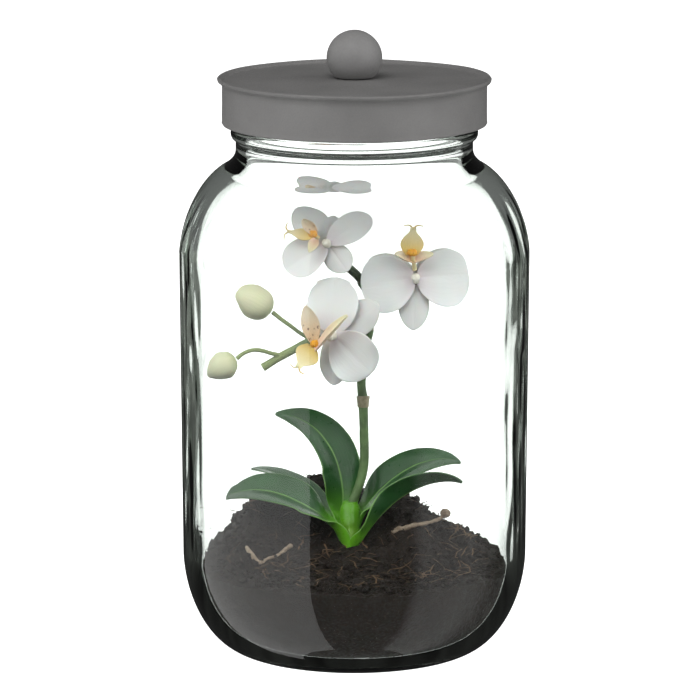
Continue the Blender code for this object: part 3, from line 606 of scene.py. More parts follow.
def new_group(name, inputs, outputs):
    """An empty node group with float inputs and outputs, and its first and last nodes."""
    group = bpy.data.node_groups.new(name, "ShaderNodeTree")
    for label, default in inputs:
        socket = group.interface.new_socket(name=label, in_out="INPUT", socket_type="NodeSocketFloat")
        socket.default_value = default
    for label in outputs:
        group.interface.new_socket(name=label, in_out="OUTPUT", socket_type="NodeSocketFloat")
    tree = Tree(group)
    return tree, tree.add("NodeGroupInput").outputs, tree.add("NodeGroupOutput")


def make_grain_group():
    """Grain on Object coordinates: a mask of specks, and a softer one of patches."""
    tree, given, result = new_group(
        "surface_grain", (("Scale", 400.0), ("Contrast", 0.2), ("Patch Scale", 60.0)), ("Specks", "Patches"),
    )
    place = tree.add("ShaderNodeTexCoord").outputs["Object"]
    fine = tree.add("ShaderNodeTexNoise", {"Vector": place, "Scale": given["Scale"], "Detail": 5.0})
    broad = tree.add("ShaderNodeTexNoise", {"Vector": place, "Scale": given["Patch Scale"], "Detail": 3.0})
    low = tree.math("SUBTRACT", 0.5, given["Contrast"])
    high = tree.math("ADD", 0.5, given["Contrast"])
    tree.feed(result, "Specks", tree.span(fine.outputs["Fac"], low, high))
    tree.feed(result, "Patches", tree.span(broad.outputs["Fac"], low, high))


def make_vein_group():
    """Veins along a blade, from its own UV map: fine lines, the midrib, and shares across and along."""
    tree, given, result = new_group(
        "blade_veins", (("Count", 24.0), ("Wobble", 0.02), ("Rib Width", 0.05)),
        ("Veins", "Rib", "Along", "Aside"),
    )
    uv = tree.add("ShaderNodeTexCoord").outputs["UV"]
    parts = tree.add("ShaderNodeSeparateXYZ", {0: uv}).outputs
    drift = tree.add("ShaderNodeTexNoise", {"Vector": uv, "Scale": 7.0, "Detail": 2.0}).outputs["Fac"]
    moved = tree.math("ADD", parts["X"], tree.math("MULTIPLY", tree.math("SUBTRACT", drift, 0.5), given["Wobble"]))
    phase = tree.math("MULTIPLY", tree.math("MULTIPLY", moved, given["Count"]), math.tau)
    line = tree.math("ADD", tree.math("MULTIPLY", tree.math("SINE", phase), 0.5), 0.5)
    aside = tree.math("MULTIPLY", tree.math("ABSOLUTE", tree.math("SUBTRACT", moved, 0.5)), 2.0)
    tree.feed(result, "Veins", tree.math("POWER", line, 3.0))
    tree.feed(result, "Rib", tree.span(aside, given["Rib Width"], 0.0))
    tree.feed(result, "Along", parts["Y"])
    tree.feed(result, "Aside", aside)


def new_material(name, **values):
    """A material, its tree and its Principled shader with plain values set."""
    made = bpy.data.materials.new(name)
    made.use_nodes = True
    tree = Tree(made.node_tree)
    shader = made.node_tree.nodes["Principled BSDF"]
    for key, value in values.items():
        tree.feed(shader, key.replace("_", " ").title().replace("Ior", "IOR"), value)
    return made, tree, shader


def glass_finish(settings):
    """Thick pale green glass that lets light through to the plant."""
    made, tree, shader = new_material(
        "clear_glass_finish", base_color=(1.0, 1.0, 1.0), transmission_weight=1.0, ior=1.5,
    )
    grain = tree.group("surface_grain", scale=55.0, contrast=0.25, patch_scale=20.0).outputs
    tree.feed(shader, "Roughness", tree.span(grain["Specks"], 0.0, 1.0, 0.0, 0.015))
    tree.feed(shader, "Normal", tree.bump(grain["Patches"], 0.12, 0.5))
    path = tree.add("ShaderNodeLightPath").outputs
    lets_light = tree.math("MAXIMUM", path["Is Shadow Ray"], path["Is Diffuse Ray"])
    clear = tree.add("ShaderNodeBsdfTransparent").outputs[0]
    mixed = tree.add("ShaderNodeMixShader", {0: lets_light, 1: shader.outputs[0], 2: clear}).outputs[0]
    tint = tree.add(
        "ShaderNodeVolumeAbsorption", {"Color": tuple(settings.tint), "Density": settings.density},
    ).outputs[0]
    output = made.node_tree.nodes["Material Output"]
    tree.feed(output, "Surface", mixed)
    tree.feed(output, "Volume", tint)
    return made


def paint_finish(name, colour, scale, ior=1.45):
    """Matte grey paint with a fine spray grain and faint rubbed patches."""
    made, tree, shader = new_material(name, ior=ior)
    grain = tree.group("surface_grain", scale=scale, contrast=0.22, patch_scale=45.0).outputs
    tone = tree.mix(grain["Patches"], tuple(0.90 * part for part in colour), tuple(1.08 * part for part in colour))
    speckled = tree.mix(tree.span(grain["Specks"], 0.0, 1.0, 0.0, 0.25), tone, tuple(0.7 * part for part in colour))
    tree.feed(shader, "Base Color", speckled)
    tree.feed(shader, "Roughness", tree.span(grain["Specks"], 0.0, 1.0, 0.46, 0.62))
    tree.feed(shader, "Normal", tree.bump(grain["Specks"], 0.25, 0.06))
    return made


def zinc_finish():
    """Plain zinc plating with faint clouding."""
    made, tree, shader = new_material("zinc_finish", metallic=1.0)
    grain = tree.group("surface_grain", scale=900.0, contrast=0.2, patch_scale=220.0).outputs
    tree.feed(shader, "Base Color", tree.mix(grain["Patches"], (0.50, 0.50, 0.49), (0.68, 0.68, 0.66)))
    tree.feed(shader, "Roughness", tree.span(grain["Specks"], 0.0, 1.0, 0.28, 0.42))
    return made


def peat_finish(settings):
    """Damp dark peat with brown fibres and crumbs."""
    made, tree, shader = new_material("peat_finish", ior=1.4)
    grain = tree.group("surface_grain", scale=850.0, contrast=0.16, patch_scale=130.0).outputs
    place = tree.add("ShaderNodeTexCoord").outputs["Object"]
    stretched = tree.add("ShaderNodeMapping", {"Vector": place, "Scale": (1.0, 1.5, 2.2), "Rotation": (0.9, 0.7, 0.4)})
    strand = tree.add(
        "ShaderNodeTexNoise", {"Vector": stretched.outputs[0], "Scale": 330.0, "Detail": 4.0, "Distortion": 1.2},
    ).outputs["Fac"]
    fibre = tree.span(strand, 0.62, 0.72)
    dark, light = tuple(settings.dark), tuple(settings.light)
    tone = tree.mix(grain["Patches"], dark, tuple(2.2 * part for part in dark))
    speckled = tree.mix(tree.math("MULTIPLY", fibre, 0.5), tone, light)
    tree.feed(shader, "Base Color", tree.mix(tree.math("MULTIPLY", grain["Specks"], 0.25), speckled, light))
    tree.feed(shader, "Roughness", tree.span(grain["Specks"], 0.0, 1.0, 0.62, 0.95))
    tree.feed(shader, "Normal", tree.bump(tree.math("ADD", grain["Specks"], fibre), 0.7, 0.35))
    return made


def fibre_finish():
    """Dry fibres, tan to dark brown."""
    made, tree, shader = new_material("fibre_finish", ior=1.4)
    grain = tree.group("surface_grain", scale=700.0, contrast=0.2, patch_scale=70.0).outputs
    tree.feed(shader, "Base Color", tree.mix(grain["Patches"], (0.020, 0.012, 0.009), (0.14, 0.085, 0.05)))
    tree.feed(shader, "Roughness", tree.span(grain["Specks"], 0.0, 1.0, 0.6, 0.9))
    return made


def leaf_finish(settings):
    """Dark waxy leaf with fine parallel veins, a pale midrib, a bright foot and a painted highlight along its edges.
    """
    made, tree, shader = new_material("leaf_finish", ior=1.46, coat_weight=0.25, coat_roughness=0.12)
    veins = tree.group("blade_veins", count=17.0, wobble=0.03, rib_width=0.075).outputs
    grain = tree.group("surface_grain", scale=700.0, contrast=0.2, patch_scale=75.0).outputs
    dark = tuple(settings.leaf)
    tone = tree.mix(grain["Patches"], tuple(0.8 * part for part in dark), tuple(1.35 * part for part in dark))
    lined = tree.mix(tree.math("MULTIPLY", veins["Veins"], 0.25), tone, (0.018, 0.085, 0.016))
    foot = tree.span(veins["Along"], 0.34, 0.10)
    rooted = tree.mix(tree.math("POWER", foot, 1.7), lined, tuple(settings.sheath))
    # Painted highlight: a pale line along the leaf's edges, stronger towards its foot, mixed in with the midrib's
    # colour.
    rim = tree.math("MULTIPLY", tree.span(veins["Aside"], 0.93, 0.99), tree.span(veins["Along"], 0.7, 0.3, 0.1, 0.8))
    rib = tree.math("MULTIPLY", veins["Rib"], tree.span(veins["Along"], 0.95, 0.55, 0.15, 0.85))
    pale = tree.math("MAXIMUM", rib, rim)
    tree.feed(shader, "Base Color", tree.mix(pale, rooted, tuple(settings.rib)))
    tree.feed(shader, "Roughness", tree.span(grain["Specks"], 0.0, 1.0, 0.26, 0.40))
    relief = tree.math("ADD", tree.math("MULTIPLY", veins["Veins"], 0.5), veins["Rib"])
    tree.feed(shader, "Normal", tree.bump(relief, 0.35, 0.12))
    return made


def sheath_finish(settings):
    """Bright waxy green in soft patches, yellower at its foot."""
    made, tree, shader = new_material("sheath_finish", ior=1.46, coat_weight=0.4, coat_roughness=0.1)
    grain = tree.group("surface_grain", scale=600.0, contrast=0.2, patch_scale=90.0).outputs
    bright = tuple(settings.sheath)
    place = tree.add("ShaderNodeTexCoord").outputs["Object"]
    height = tree.add("ShaderNodeSeparateXYZ", {0: place}).outputs["Z"]
    foot = tree.span(height, 0.047, 0.062)
    low = tree.mix(foot, (0.26, 0.34, 0.05), bright)
    tree.feed(shader, "Base Color", tree.mix(tree.math("MULTIPLY", grain["Patches"], 0.5), low, (0.09, 0.26, 0.012)))
    tree.feed(shader, "Roughness", tree.span(grain["Specks"], 0.0, 1.0, 0.25, 0.38))
    return made


def stem_finish(settings):
    """Mottled green stem, dark above the front bloom and paler along the far part of the branch."""
    made, tree, shader = new_material("stem_finish", ior=1.42)
    grain = tree.group("surface_grain", scale=500.0, contrast=0.2, patch_scale=110.0).outputs
    place = tree.add("ShaderNodeTexCoord").outputs["Object"]
    parts = tree.add("ShaderNodeSeparateXYZ", {0: place}).outputs
    green = tuple(settings.stem)
    tone = tree.mix(grain["Patches"], tuple(0.55 * part for part in green), tuple(1.5 * part for part in green))
    high = tree.math("MULTIPLY", tree.span(parts["Z"], 0.152, 0.160), tree.span(parts["X"], -0.020, -0.012))
    dark = tree.mix(high, tone, (0.020, 0.034, 0.012))
    young = tree.span(parts["X"], -0.018, -0.034)
    tree.feed(shader, "Base Color", tree.mix(young, dark, (0.24, 0.29, 0.12)))
    tree.feed(shader, "Roughness", tree.span(grain["Specks"], 0.0, 1.0, 0.38, 0.55))
    tree.feed(shader, "Normal", tree.bump(grain["Specks"], 0.2, 0.1))
    return made


def bud_finish(settings):
    """Cream green bud, greener at its foot."""
    made, tree, shader = new_material("bud_finish", ior=1.42, subsurface_weight=0.12, subsurface_scale=0.003)
    veins = tree.group("blade_veins", count=30.0, wobble=0.05, rib_width=0.05).outputs
    grain = tree.group("surface_grain", scale=420.0, contrast=0.25, patch_scale=120.0).outputs
    cream = tuple(settings.bud)
    tone = tree.mix(tree.math("MULTIPLY", grain["Patches"], 0.5), cream, (0.60, 0.55, 0.42))
    lined = tree.mix(tree.math("MULTIPLY", veins["Veins"], 0.15), tone, (0.36, 0.42, 0.20))
    tree.feed(shader, "Base Color", tree.mix(tree.span(veins["Along"], 0.35, 0.05, 0.0, 0.6), lined, (0.34, 0.40, 0.14)))
    tree.feed(shader, "Roughness", tree.span(grain["Specks"], 0.0, 1.0, 0.42, 0.58))
    return made


def petal_finish(name, colour, foot_tint_and_shade, edge_colour):
    """Soft white tepal with fine veins, tinted at its edge, and tinted and darkened with painted shade at its foot."""
    made, tree, shader = new_material(name, ior=1.38, subsurface_weight=0.15, subsurface_scale=0.002)
    veins = tree.group("blade_veins", count=13.0, wobble=0.12, rib_width=0.12).outputs
    grain = tree.group("surface_grain", scale=900.0, contrast=0.25, patch_scale=95.0).outputs
    tone = tree.mix(tree.math("MULTIPLY", veins["Veins"], 0.16), colour, tuple(0.84 * part for part in colour))
    patchy = tree.mix(tree.math("MULTIPLY", grain["Patches"], 0.35), tone, tuple(0.9 * part for part in colour))
    # Painted shade with a lilac or grey tint: the tepal darkens towards its foot by the column.
    footed = tree.mix(tree.span(veins["Along"], 0.42, 0.02, 0.0, 0.75), patchy, foot_tint_and_shade)
    rim = tree.math("MULTIPLY", tree.span(veins["Aside"], 0.7, 1.0), 0.35)
    tree.feed(shader, "Base Color", tree.mix(rim, footed, edge_colour))
    tree.feed(shader, "Roughness", tree.span(grain["Specks"], 0.0, 1.0, 0.48, 0.62))
    relief = tree.math("ADD", tree.math("MULTIPLY", veins["Veins"], 0.4), tree.math("MULTIPLY", veins["Rib"], -0.8))
    tree.feed(shader, "Normal", tree.bump(relief, 0.3, 0.12))
    return made


def lip_finish(name, colour, second, spot_share, spot_colour=(0.10, 0.022, 0.03)):
    """A lobe of the lip: two tones along its length, with round spots on its own UV map."""
    made, tree, shader = new_material(name, ior=1.42, subsurface_weight=0.1, subsurface_scale=0.002)
    veins = tree.group("blade_veins", count=9.0, wobble=0.2, rib_width=0.1).outputs
    uv = tree.add("ShaderNodeTexCoord").outputs["UV"]
    wide = tree.add("ShaderNodeMapping", {"Vector": uv, "Scale": (3.6, 6.2, 1.0)}).outputs[0]
    spots = tree.add("ShaderNodeTexVoronoi", {"Vector": wide, "Scale": 1.0, "Randomness": 0.75}).outputs["Distance"]
    spot = tree.span(spots, 0.36, 0.24, 0.0, spot_share)
    inner = tree.math("MULTIPLY", tree.span(veins["Aside"], 0.95, 0.75), tree.span(veins["Along"], 0.88, 0.72))
    tone = tree.mix(tree.span(veins["Along"], 0.15, 0.85), colour, second)
    lined = tree.mix(tree.math("MULTIPLY", veins["Veins"], 0.18), tone, tuple(0.7 * part for part in colour))
    tree.feed(shader, "Base Color", tree.mix(tree.math("MULTIPLY", spot, inner), lined, spot_colour))
    tree.feed(shader, "Roughness", tree.span(veins["Veins"], 0.0, 1.0, 0.38, 0.52))
    return made


def waxy_finish(name, colour, second):
    """Small waxy parts of a bloom, in two mottled tones."""
    made, tree, shader = new_material(name, ior=1.44)
    grain = tree.group("surface_grain", scale=1500.0, contrast=0.2, patch_scale=500.0).outputs
    tree.feed(shader, "Base Color", tree.mix(grain["Patches"], colour, second))
    tree.feed(shader, "Roughness", tree.span(grain["Specks"], 0.0, 1.0, 0.3, 0.5))
    return made


def bark_finish():
    """Dry pale bark and root, rough and mottled."""
    made, tree, shader = new_material("bark_finish", ior=1.4)
    grain = tree.group("surface_grain", scale=1100.0, contrast=0.2, patch_scale=260.0).outputs
    tone = tree.mix(grain["Patches"], (0.20, 0.14, 0.10), (0.42, 0.34, 0.27))
    tree.feed(shader, "Base Color", tree.mix(tree.math("MULTIPLY", grain["Specks"], 0.5), tone, (0.10, 0.06, 0.04)))
    tree.feed(shader, "Roughness", tree.span(grain["Specks"], 0.0, 1.0, 0.7, 0.95))
    tree.feed(shader, "Normal", tree.bump(grain["Specks"], 0.6, 0.3))
    return made


def quarter(steps, power):
    """Pairs that run from (0, 1) to (1, 0) round a quarter of a superellipse."""
    pairs = []
    for step in range(steps + 1):
        angle = 0.5 * math.pi * step / steps
        pairs.append((max(math.sin(angle), 0.0) ** (2.0 / power), max(math.cos(angle), 0.0) ** (2.0 / power)))
    return pairs


def inner_wall(height):
    """Radius of the jar's inner wall at a height below its shoulder."""
    if height >= INNER_HEEL_HEIGHT:
        rise = (height - INNER_HEEL_HEIGHT) / (SHOULDER_START - INNER_HEEL_HEIGHT)
        return INNER_HEEL_RADIUS + (INNER_BODY_RADIUS - INNER_HEEL_RADIUS) * rise
    along = max(INNER_HEEL_HEIGHT - height, 0.0) / (INNER_HEEL_HEIGHT - FLOOR_HEIGHT)
    across = max(1.0 - min(along, 1.0) ** HEEL_POWER, 0.0) ** (1.0 / HEEL_POWER)
    return FLOOR_RADIUS + (INNER_HEEL_RADIUS - FLOOR_RADIUS) * across


def straight(first, last, steps):
    """Points between two ends, without the ends."""
    return [
        (first[0] + (last[0] - first[0]) * step / steps, first[1] + (last[1] - first[1]) * step / steps)
        for step in range(1, steps)
    ]


def jar_section():
    """The jar's section: from the middle of its base up the outside, over the rim and down the inside."""
    section = [(0.0, PUSH_UP), (PUSH_UP_RADIUS, PUSH_UP), (43.4, 0.4), (CONTACT_INNER_RADIUS, 0.0)]
    section += [(CONTACT_RADIUS, 0.0)]
    span = HEEL_RADIUS - CONTACT_RADIUS
    for across, along in quarter(CURVE_STEPS, HEEL_POWER)[1:]:
        section.append((CONTACT_RADIUS + span * across, HEEL_HEIGHT * (1.0 - along)))
    section += straight((HEEL_RADIUS, HEEL_HEIGHT), (BODY_RADIUS, SHOULDER_START), WALL_STEPS)
    span = BODY_RADIUS - NECK_RADIUS
    for across, along in reversed(quarter(CURVE_STEPS, SHOULDER_POWER)[4:]):
        rise = (SHOULDER_TOP - SHOULDER_START) * along
        section.append((NECK_RADIUS + span * across, SHOULDER_START + rise))
    foot, height = section[-1]
    for step in range(1, 7):
        share = step / 7.0
        section.append((
            NECK_RADIUS + (foot - NECK_RADIUS) * (1.0 - share) ** 2.2, height + (NECK_HEIGHT - height) * share,
        ))
    section.append((NECK_RADIUS, NECK_HEIGHT))
    for step in range(9):
        angle = math.pi * (step / 8.0 - 0.5)
        bulge = (BEAD_RADIUS - NECK_RADIUS) * math.cos(angle) ** 0.8 if abs(angle) < 1.55 else 0.0
        section.append((NECK_RADIUS + bulge, BEAD_HEIGHT + BEAD_HALF_HEIGHT * math.sin(angle) * 1.2))
    section += [(NECK_RADIUS, 244.6), (FINISH_RADIUS, 246.0), (FINISH_RADIUS, RIM_START)]
    section += [(RIM_RADIUS, RIM_START + 0.6), (RIM_RADIUS, RIM_TOP - RIM_ROUND)]
    section += [(RIM_RADIUS - 0.4, RIM_TOP - 0.4), (RIM_RADIUS - RIM_ROUND, RIM_TOP)]
    section += [(MOUTH_RADIUS + RIM_ROUND, RIM_TOP), (MOUTH_RADIUS + 0.4, RIM_TOP - 0.4)]
    section += [(MOUTH_RADIUS, RIM_TOP - RIM_ROUND)]
    section += straight((MOUTH_RADIUS, RIM_TOP - RIM_ROUND), (MOUTH_RADIUS, NECK_HEIGHT), 8)
    span = INNER_BODY_RADIUS - MOUTH_RADIUS
    shoulder = []
    for across, along in quarter(CURVE_STEPS, SHOULDER_POWER)[5:]:
        rise = (INNER_SHOULDER_TOP - SHOULDER_START) * along
        shoulder.append((MOUTH_RADIUS + span * across, SHOULDER_START + rise))
    foot, height = shoulder[0]
    for step in range(8):
        share = step / 8.0
        section.append((
            MOUTH_RADIUS + (foot - MOUTH_RADIUS) * share ** 2.2, NECK_HEIGHT + (height - NECK_HEIGHT) * share,
        ))
    section += shoulder
    low = (INNER_HEEL_RADIUS, INNER_HEEL_HEIGHT)
    section += straight((INNER_BODY_RADIUS, SHOULDER_START), low, WALL_STEPS)
    for across, along in reversed(quarter(CURVE_STEPS, HEEL_POWER)):
        height = INNER_HEEL_HEIGHT - (INNER_HEEL_HEIGHT - FLOOR_HEIGHT) * along
        section.append((FLOOR_RADIUS + (INNER_HEEL_RADIUS - FLOOR_RADIUS) * across, height))
    return section + [(25.0, FLOOR_HEIGHT), (0.0, FLOOR_HEIGHT)]


def make_jar(settings):
    """The glass jar: a turned wall whose inside is gently waved."""
    jar = turned("jar_glass", jar_section(), JAR_SIDES)

    def waved(place):
        radius = math.hypot(place.x, place.y)
        share = ease(place.z, 40.0, 62.0) * (1.0 - ease(place.z, 196.0, 216.0))
        if share == 0.0 or radius < MOUTH_RADIUS:
            return place
        angle = math.atan2(place.y, place.x)
        off_seam = math.degrees(math.asin(min(abs(place.y) / radius, 1.0)))
        seam = math.exp(-((off_seam / SEAM_SPREAD) ** 2))
        round_wall = Vector((math.cos(angle) * BODY_RADIUS, math.sin(angle) * BODY_RADIUS, place.z * 0.16))
        streaks = waves(round_wall, 5.0) + 0.8 * waves(place + Vector((0.0, 0.0, 200.0)), 16.0)
        broad = waves(place + Vector((0.0, 0.0, 90.0)), 40.0)
        inside = radius < BETWEEN_WALLS or place.z > SHOULDER_START
        depth = (settings.wave + settings.seam_wave * seam) * streaks + 0.05 * broad if inside else 0.04 * broad
        stretch = (radius + share * depth) / radius
        return Vector((place.x * stretch, place.y * stretch, place.z))

    reshaped(jar, waved)
    dressed(jar, glass_finish(settings))
    placed(jar, "clear_glass", "jar", sharp=80.0)


def cover_section():
    """The cover's section: plate, rolled lip, skirt and the inside of the sheet, closed on itself."""
    top = PLATE_HEIGHT + PLATE_CROWN
    section = [(SCREW_HOLE_RADIUS, top)]
    section += straight((SCREW_HOLE_RADIUS, top), (57.6, PLATE_HEIGHT - 0.7), 14)
    section += [(57.6, PLATE_HEIGHT - 0.7), (59.0, PLATE_HEIGHT - 0.9), (60.0, PLATE_HEIGHT - 0.4)]
    section += [(60.7, PLATE_HEIGHT + 0.5), (61.3, PLATE_HEIGHT + 0.9), (61.9, PLATE_HEIGHT + 0.8)]
    section += [(LIP_RADIUS, PLATE_HEIGHT + 0.2)]
    section += [(62.2, PLATE_HEIGHT - 0.7), (61.4, PLATE_HEIGHT - 1.3), (60.7, PLATE_HEIGHT - 1.9)]
    section += [(SKIRT_RADIUS + 0.05, PLATE_HEIGHT - 3.0)]
    section += straight((SKIRT_RADIUS, PLATE_HEIGHT - 3.0), (SKIRT_RADIUS, SKIRT_BOTTOM + 1.4), 14)
    section += [(SKIRT_RADIUS, SKIRT_BOTTOM + 1.2), (SKIRT_RADIUS + 0.15, SKIRT_BOTTOM + 0.5)]
    section += [(SKIRT_RADIUS - 0.15, SKIRT_BOTTOM), (SKIRT_RADIUS - 0.7, SKIRT_BOTTOM)]
    section += [(SKIRT_RADIUS - SHEET, SKIRT_BOTTOM + 0.6), (SKIRT_RADIUS - SHEET, PLATE_HEIGHT - 3.2)]
    section += [(SKIRT_RADIUS - 1.6, PLATE_HEIGHT - SHEET - 1.1), (56.0, PLATE_HEIGHT - SHEET - 0.6)]
    return section + [(SCREW_HOLE_RADIUS, top - SHEET), (SCREW_HOLE_RADIUS, top)]


def make_cover(settings):
    """The pressed cover, slightly uneven as sheet metal is."""
    cover = turned("cover_sheet", cover_section(), COVER_SIDES)

    def dented(place):
        radius = math.hypot(place.x, place.y)
        rim = ease(radius, 50.0, 61.0)
        uneven = 0.28 * waves(place, 22.0) + 0.10 * waves(place + Vector((90.0, 0.0, 0.0)), 6.0)
        height = place.z + rim * 0.35 * waves(place + Vector((0.0, 70.0, 0.0)), 38.0)
        stretch = 1.0 + rim * (uneven - 0.12) / radius
        return Vector((place.x * stretch, place.y * stretch, height))

    reshaped(cover, dented)
    dressed(cover, paint_finish("cover_paint_finish", tuple(settings.paint), 1500.0))
    placed(cover, "grey_paint", "lid", sharp=42.0)


def make_knob(settings):
    """The ball knob: a turned ball with a small flat seat."""
    knob = ball("cover_knob", 72, 48)
    radius = settings.knob_radius

    def round_enough(place):
        uneven = 1.0 + 0.004 * waves(place * 12.0 + Vector((5.0, 0.0, 0.0)), 8.0) - 0.003
        return place * radius * uneven + Vector((0.0, 0.0, KNOB_CENTRE))

    reshaped(knob, round_enough)
    pick(knob)
    bpy.ops.object.mode_set(mode="EDIT")
    bpy.ops.mesh.select_all(action="SELECT")
    bpy.ops.mesh.bisect(
        plane_co=(0.0, 0.0, KNOB_SEAT * MM), plane_no=UP, use_fill=True, clear_inner=True,
    )
    bpy.ops.object.mode_set(mode="OBJECT")
    dressed(knob, paint_finish("knob_paint_finish", tuple(settings.knob_paint), 900.0))
    placed(knob, "knob_paint", "lid_knob", sharp=50.0)


def make_screw():
    """The knob's screw keeps its solid and gets its plating."""
    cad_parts["knob_screw"].material_slots[0].material = zinc_finish()


def soil_height(x, y):
    """Height of the soil's surface before its crumbs."""
    height = SOIL_LEVEL
    for heap_x, heap_y, rise, spread_x, front, back in SOIL_HEAPS:
        spread_y = front if y < heap_y else back
        height += rise * math.exp(-0.5 * (((x - heap_x) / spread_x) ** 2 + ((y - heap_y) / spread_y) ** 2))
    return height + SOIL_GRAIN * waves(Vector((x, y, 0.0)), SOIL_GRAIN_SIZE)


def crumble(x, y):
    """Clods and crumbs on the soil's surface."""
    place = Vector((x, y, 0.0))
    clods = noise.voronoi(place / 3.1)[0]
    crumbs = noise.voronoi(place / 1.35 + Vector((9.0, 4.0, 0.0)))[0]
    rough = 0.75 * waves(place, 2.3)
    return 1.5 * (0.5 - clods[0]) + 0.7 * (0.45 - crumbs[0]) + rough


def make_soil(settings):
    """The mound of peat: a turned body whose top is dropped onto the heaps and crumbled."""
    edge = inner_wall(SOIL_LEVEL) - SOIL_TO_GLASS
    floor = FLOOR_HEIGHT + SOIL_TO_GLASS
    section = [(edge * ring / SOIL_RINGS, SOIL_ABOVE_ALL) for ring in range(SOIL_RINGS)]
    for step in range(SOIL_WALL_STEPS):
        height = SOIL_LEVEL + (floor - SOIL_LEVEL) * step / SOIL_WALL_STEPS
        section.append((inner_wall(height) - SOIL_TO_GLASS, height))
    section += [(FLOOR_RADIUS - SOIL_TO_GLASS, floor), (25.0, floor), (0.0, floor)]
    soil = turned("peat_mound", section, SOIL_SIDES)

    def settled(place):
        radius = max(math.hypot(place.x, place.y), 0.001)
        rim_x, rim_y = place.x * edge / radius, place.y * edge / radius
        rim = soil_height(rim_x, rim_y)
        if place.z > SOIL_ABOVE_ALL - 1.0:
            stretch = 1.0 + (inner_wall(rim) - SOIL_TO_GLASS - edge) / edge * (radius / edge) ** 4
            x, y = place.x * stretch, place.y * stretch
            inside = 1.0 - ease(radius, edge - 1.2, edge)
            return Vector((x, y, soil_height(x, y) + inside * crumble(x, y)))
        if radius < FLOOR_RADIUS:
            return place
        share = (place.z - floor) / (SOIL_LEVEL - floor)
        height = floor + share * (rim - floor)
        pits = 0.5 * max(waves(place + Vector((0.0, 0.0, 31.0)), 3.4), 0.0)
        reach = (inner_wall(height) - SOIL_TO_GLASS - pits) / radius
        return Vector((place.x * reach, place.y * reach, height))

    reshaped(soil, settled)
    pick(soil)
    bpy.ops.object.mode_set(mode="EDIT")
    bpy.ops.mesh.select_all(action="SELECT")
    bpy.ops.mesh.normals_make_consistent(inside=False)
    bpy.ops.object.mode_set(mode="OBJECT")
    dressed(soil, peat_finish(settings))
    placed(soil, "peat", "soil", sharp=70.0)
    return soil


def crumb_kinds(draw, count):
    """Small rough crumbs about the origin, 1 mm in radius, as meshes to be copied."""
    kinds = []
    for index in range(count):
        start_clean()
        bpy.ops.mesh.primitive_ico_sphere_add(subdivisions=1 if index % 3 else 2, radius=MM)
        crumb = named("crumb")
        offset = Vector((draw.uniform(0.0, 50.0), 0.0, 0.0))
        reshaped(crumb, lambda place: place * (1.0 + 0.5 * waves(place + offset, 0.9)))
        kinds.append(crumb)
    return kinds


def scattered(name, kinds, spots):
    """One piece from copies of small ones, each (kind, place, size, turn) with its own vertices."""
    bm = bmesh.new()
    for kind, place, size, turn in spots:
        before = len(bm.verts)
        bm.from_mesh(kinds[kind].data)
        bm.verts.ensure_lookup_table()
        move = Matrix.Translation(place * MM) @ turn @ Matrix.Diagonal((*size, 1.0))
        bmesh.ops.transform(bm, matrix=move, verts=bm.verts[before:])
    for kind in kinds[1:]:
        bpy.data.objects.remove(kind, do_unlink=True)
    piece = kinds[0]
    bm.to_mesh(piece.data)
    bm.free()
    pick(piece)
    return named(name)


def random_turn(draw):
    """A turn about a random axis."""
    axis = Vector((draw.uniform(-1.0, 1.0), draw.uniform(-1.0, 1.0), draw.uniform(-1.0, 1.0)))
    return Matrix.Rotation(draw.uniform(0.0, math.tau), 4, axis.normalized())


def soil_spot(draw, reach):
    """A random place on the soil, even over its area."""
    angle = draw.uniform(0.0, math.tau)
    radius = reach * math.sqrt(draw.uniform(0.0, 1.0))
    x, y = radius * math.cos(angle), radius * math.sin(angle)
    return Vector((x, y, soil_height(x, y)))


def make_crumbs(settings, finish):
    """Loose crumbs on the peat and a few that cling to the glass above it."""
    draw = random.Random(settings.seed)
    kinds = crumb_kinds(draw, 6)
    spots = []
    for _ in range(settings.crumbs):
        size = 0.35 + 1.25 * draw.uniform(0.0, 1.0) ** 3
        place = soil_spot(draw, 67.5) + UP * draw.uniform(0.0, 0.8 * size + 0.3)
        scale = (size * draw.uniform(0.7, 1.4), size, size * draw.uniform(0.5, 1.0))
        spots.append((draw.randrange(len(kinds)), place, scale, random_turn(draw)))
    for _ in range(46):
        angle = math.radians(draw.gauss(180.0, 34.0))
        height = SOIL_LEVEL + 3.0 + 20.0 * draw.uniform(0.0, 1.0) ** 2
        radius = inner_wall(height) - 0.5
        size = draw.uniform(0.15, 0.5)
        place = Vector((radius * math.cos(angle), radius * math.sin(angle), height))
        spots.append((draw.randrange(len(kinds)), place, (size, size, size), random_turn(draw)))
    crumbs = scattered("peat_crumbs", kinds, spots)
    dressed(crumbs, finish)
    placed(crumbs, "peat", sharp=40.0)


def make_fibres(settings):
    """Loose curved fibres that lie on the peat and stand out of it."""
    draw = random.Random(settings.seed + 1)
    kinds = []
    for bend in (1.2, 2.6, 4.0):
        points = ((-5.0, 0.0, -0.8), (-2.5, 0.3 * bend, 0.4), (0.5, -0.2 * bend, 1.2), (3.0, bend * 0.6, 0.8), (5.0, bend, -0.4))
        kinds.append(rod("fibre", points, 0.5, lambda _place, t: 1.0 - 0.6 * t, steps=2, roundness=0))
    spots = []
    for _ in range(settings.fibres):
        place = soil_spot(draw, 61.0) + UP * draw.uniform(0.4, 1.5)
        length = draw.uniform(0.45, 1.25)
        width = draw.uniform(0.18, 0.42)
        turn = Matrix.Rotation(draw.uniform(0.0, math.tau), 4, UP)
        lean = Matrix.Rotation(draw.gauss(0.0, 0.4), 4, "Y")
        spots.append((draw.randrange(len(kinds)), place, (length, length * 0.8, width), turn @ lean))
    fibres = scattered("peat_fibres", kinds, spots)
    dressed(fibres, fibre_finish())
    placed(fibres, "peat", sharp=60.0)


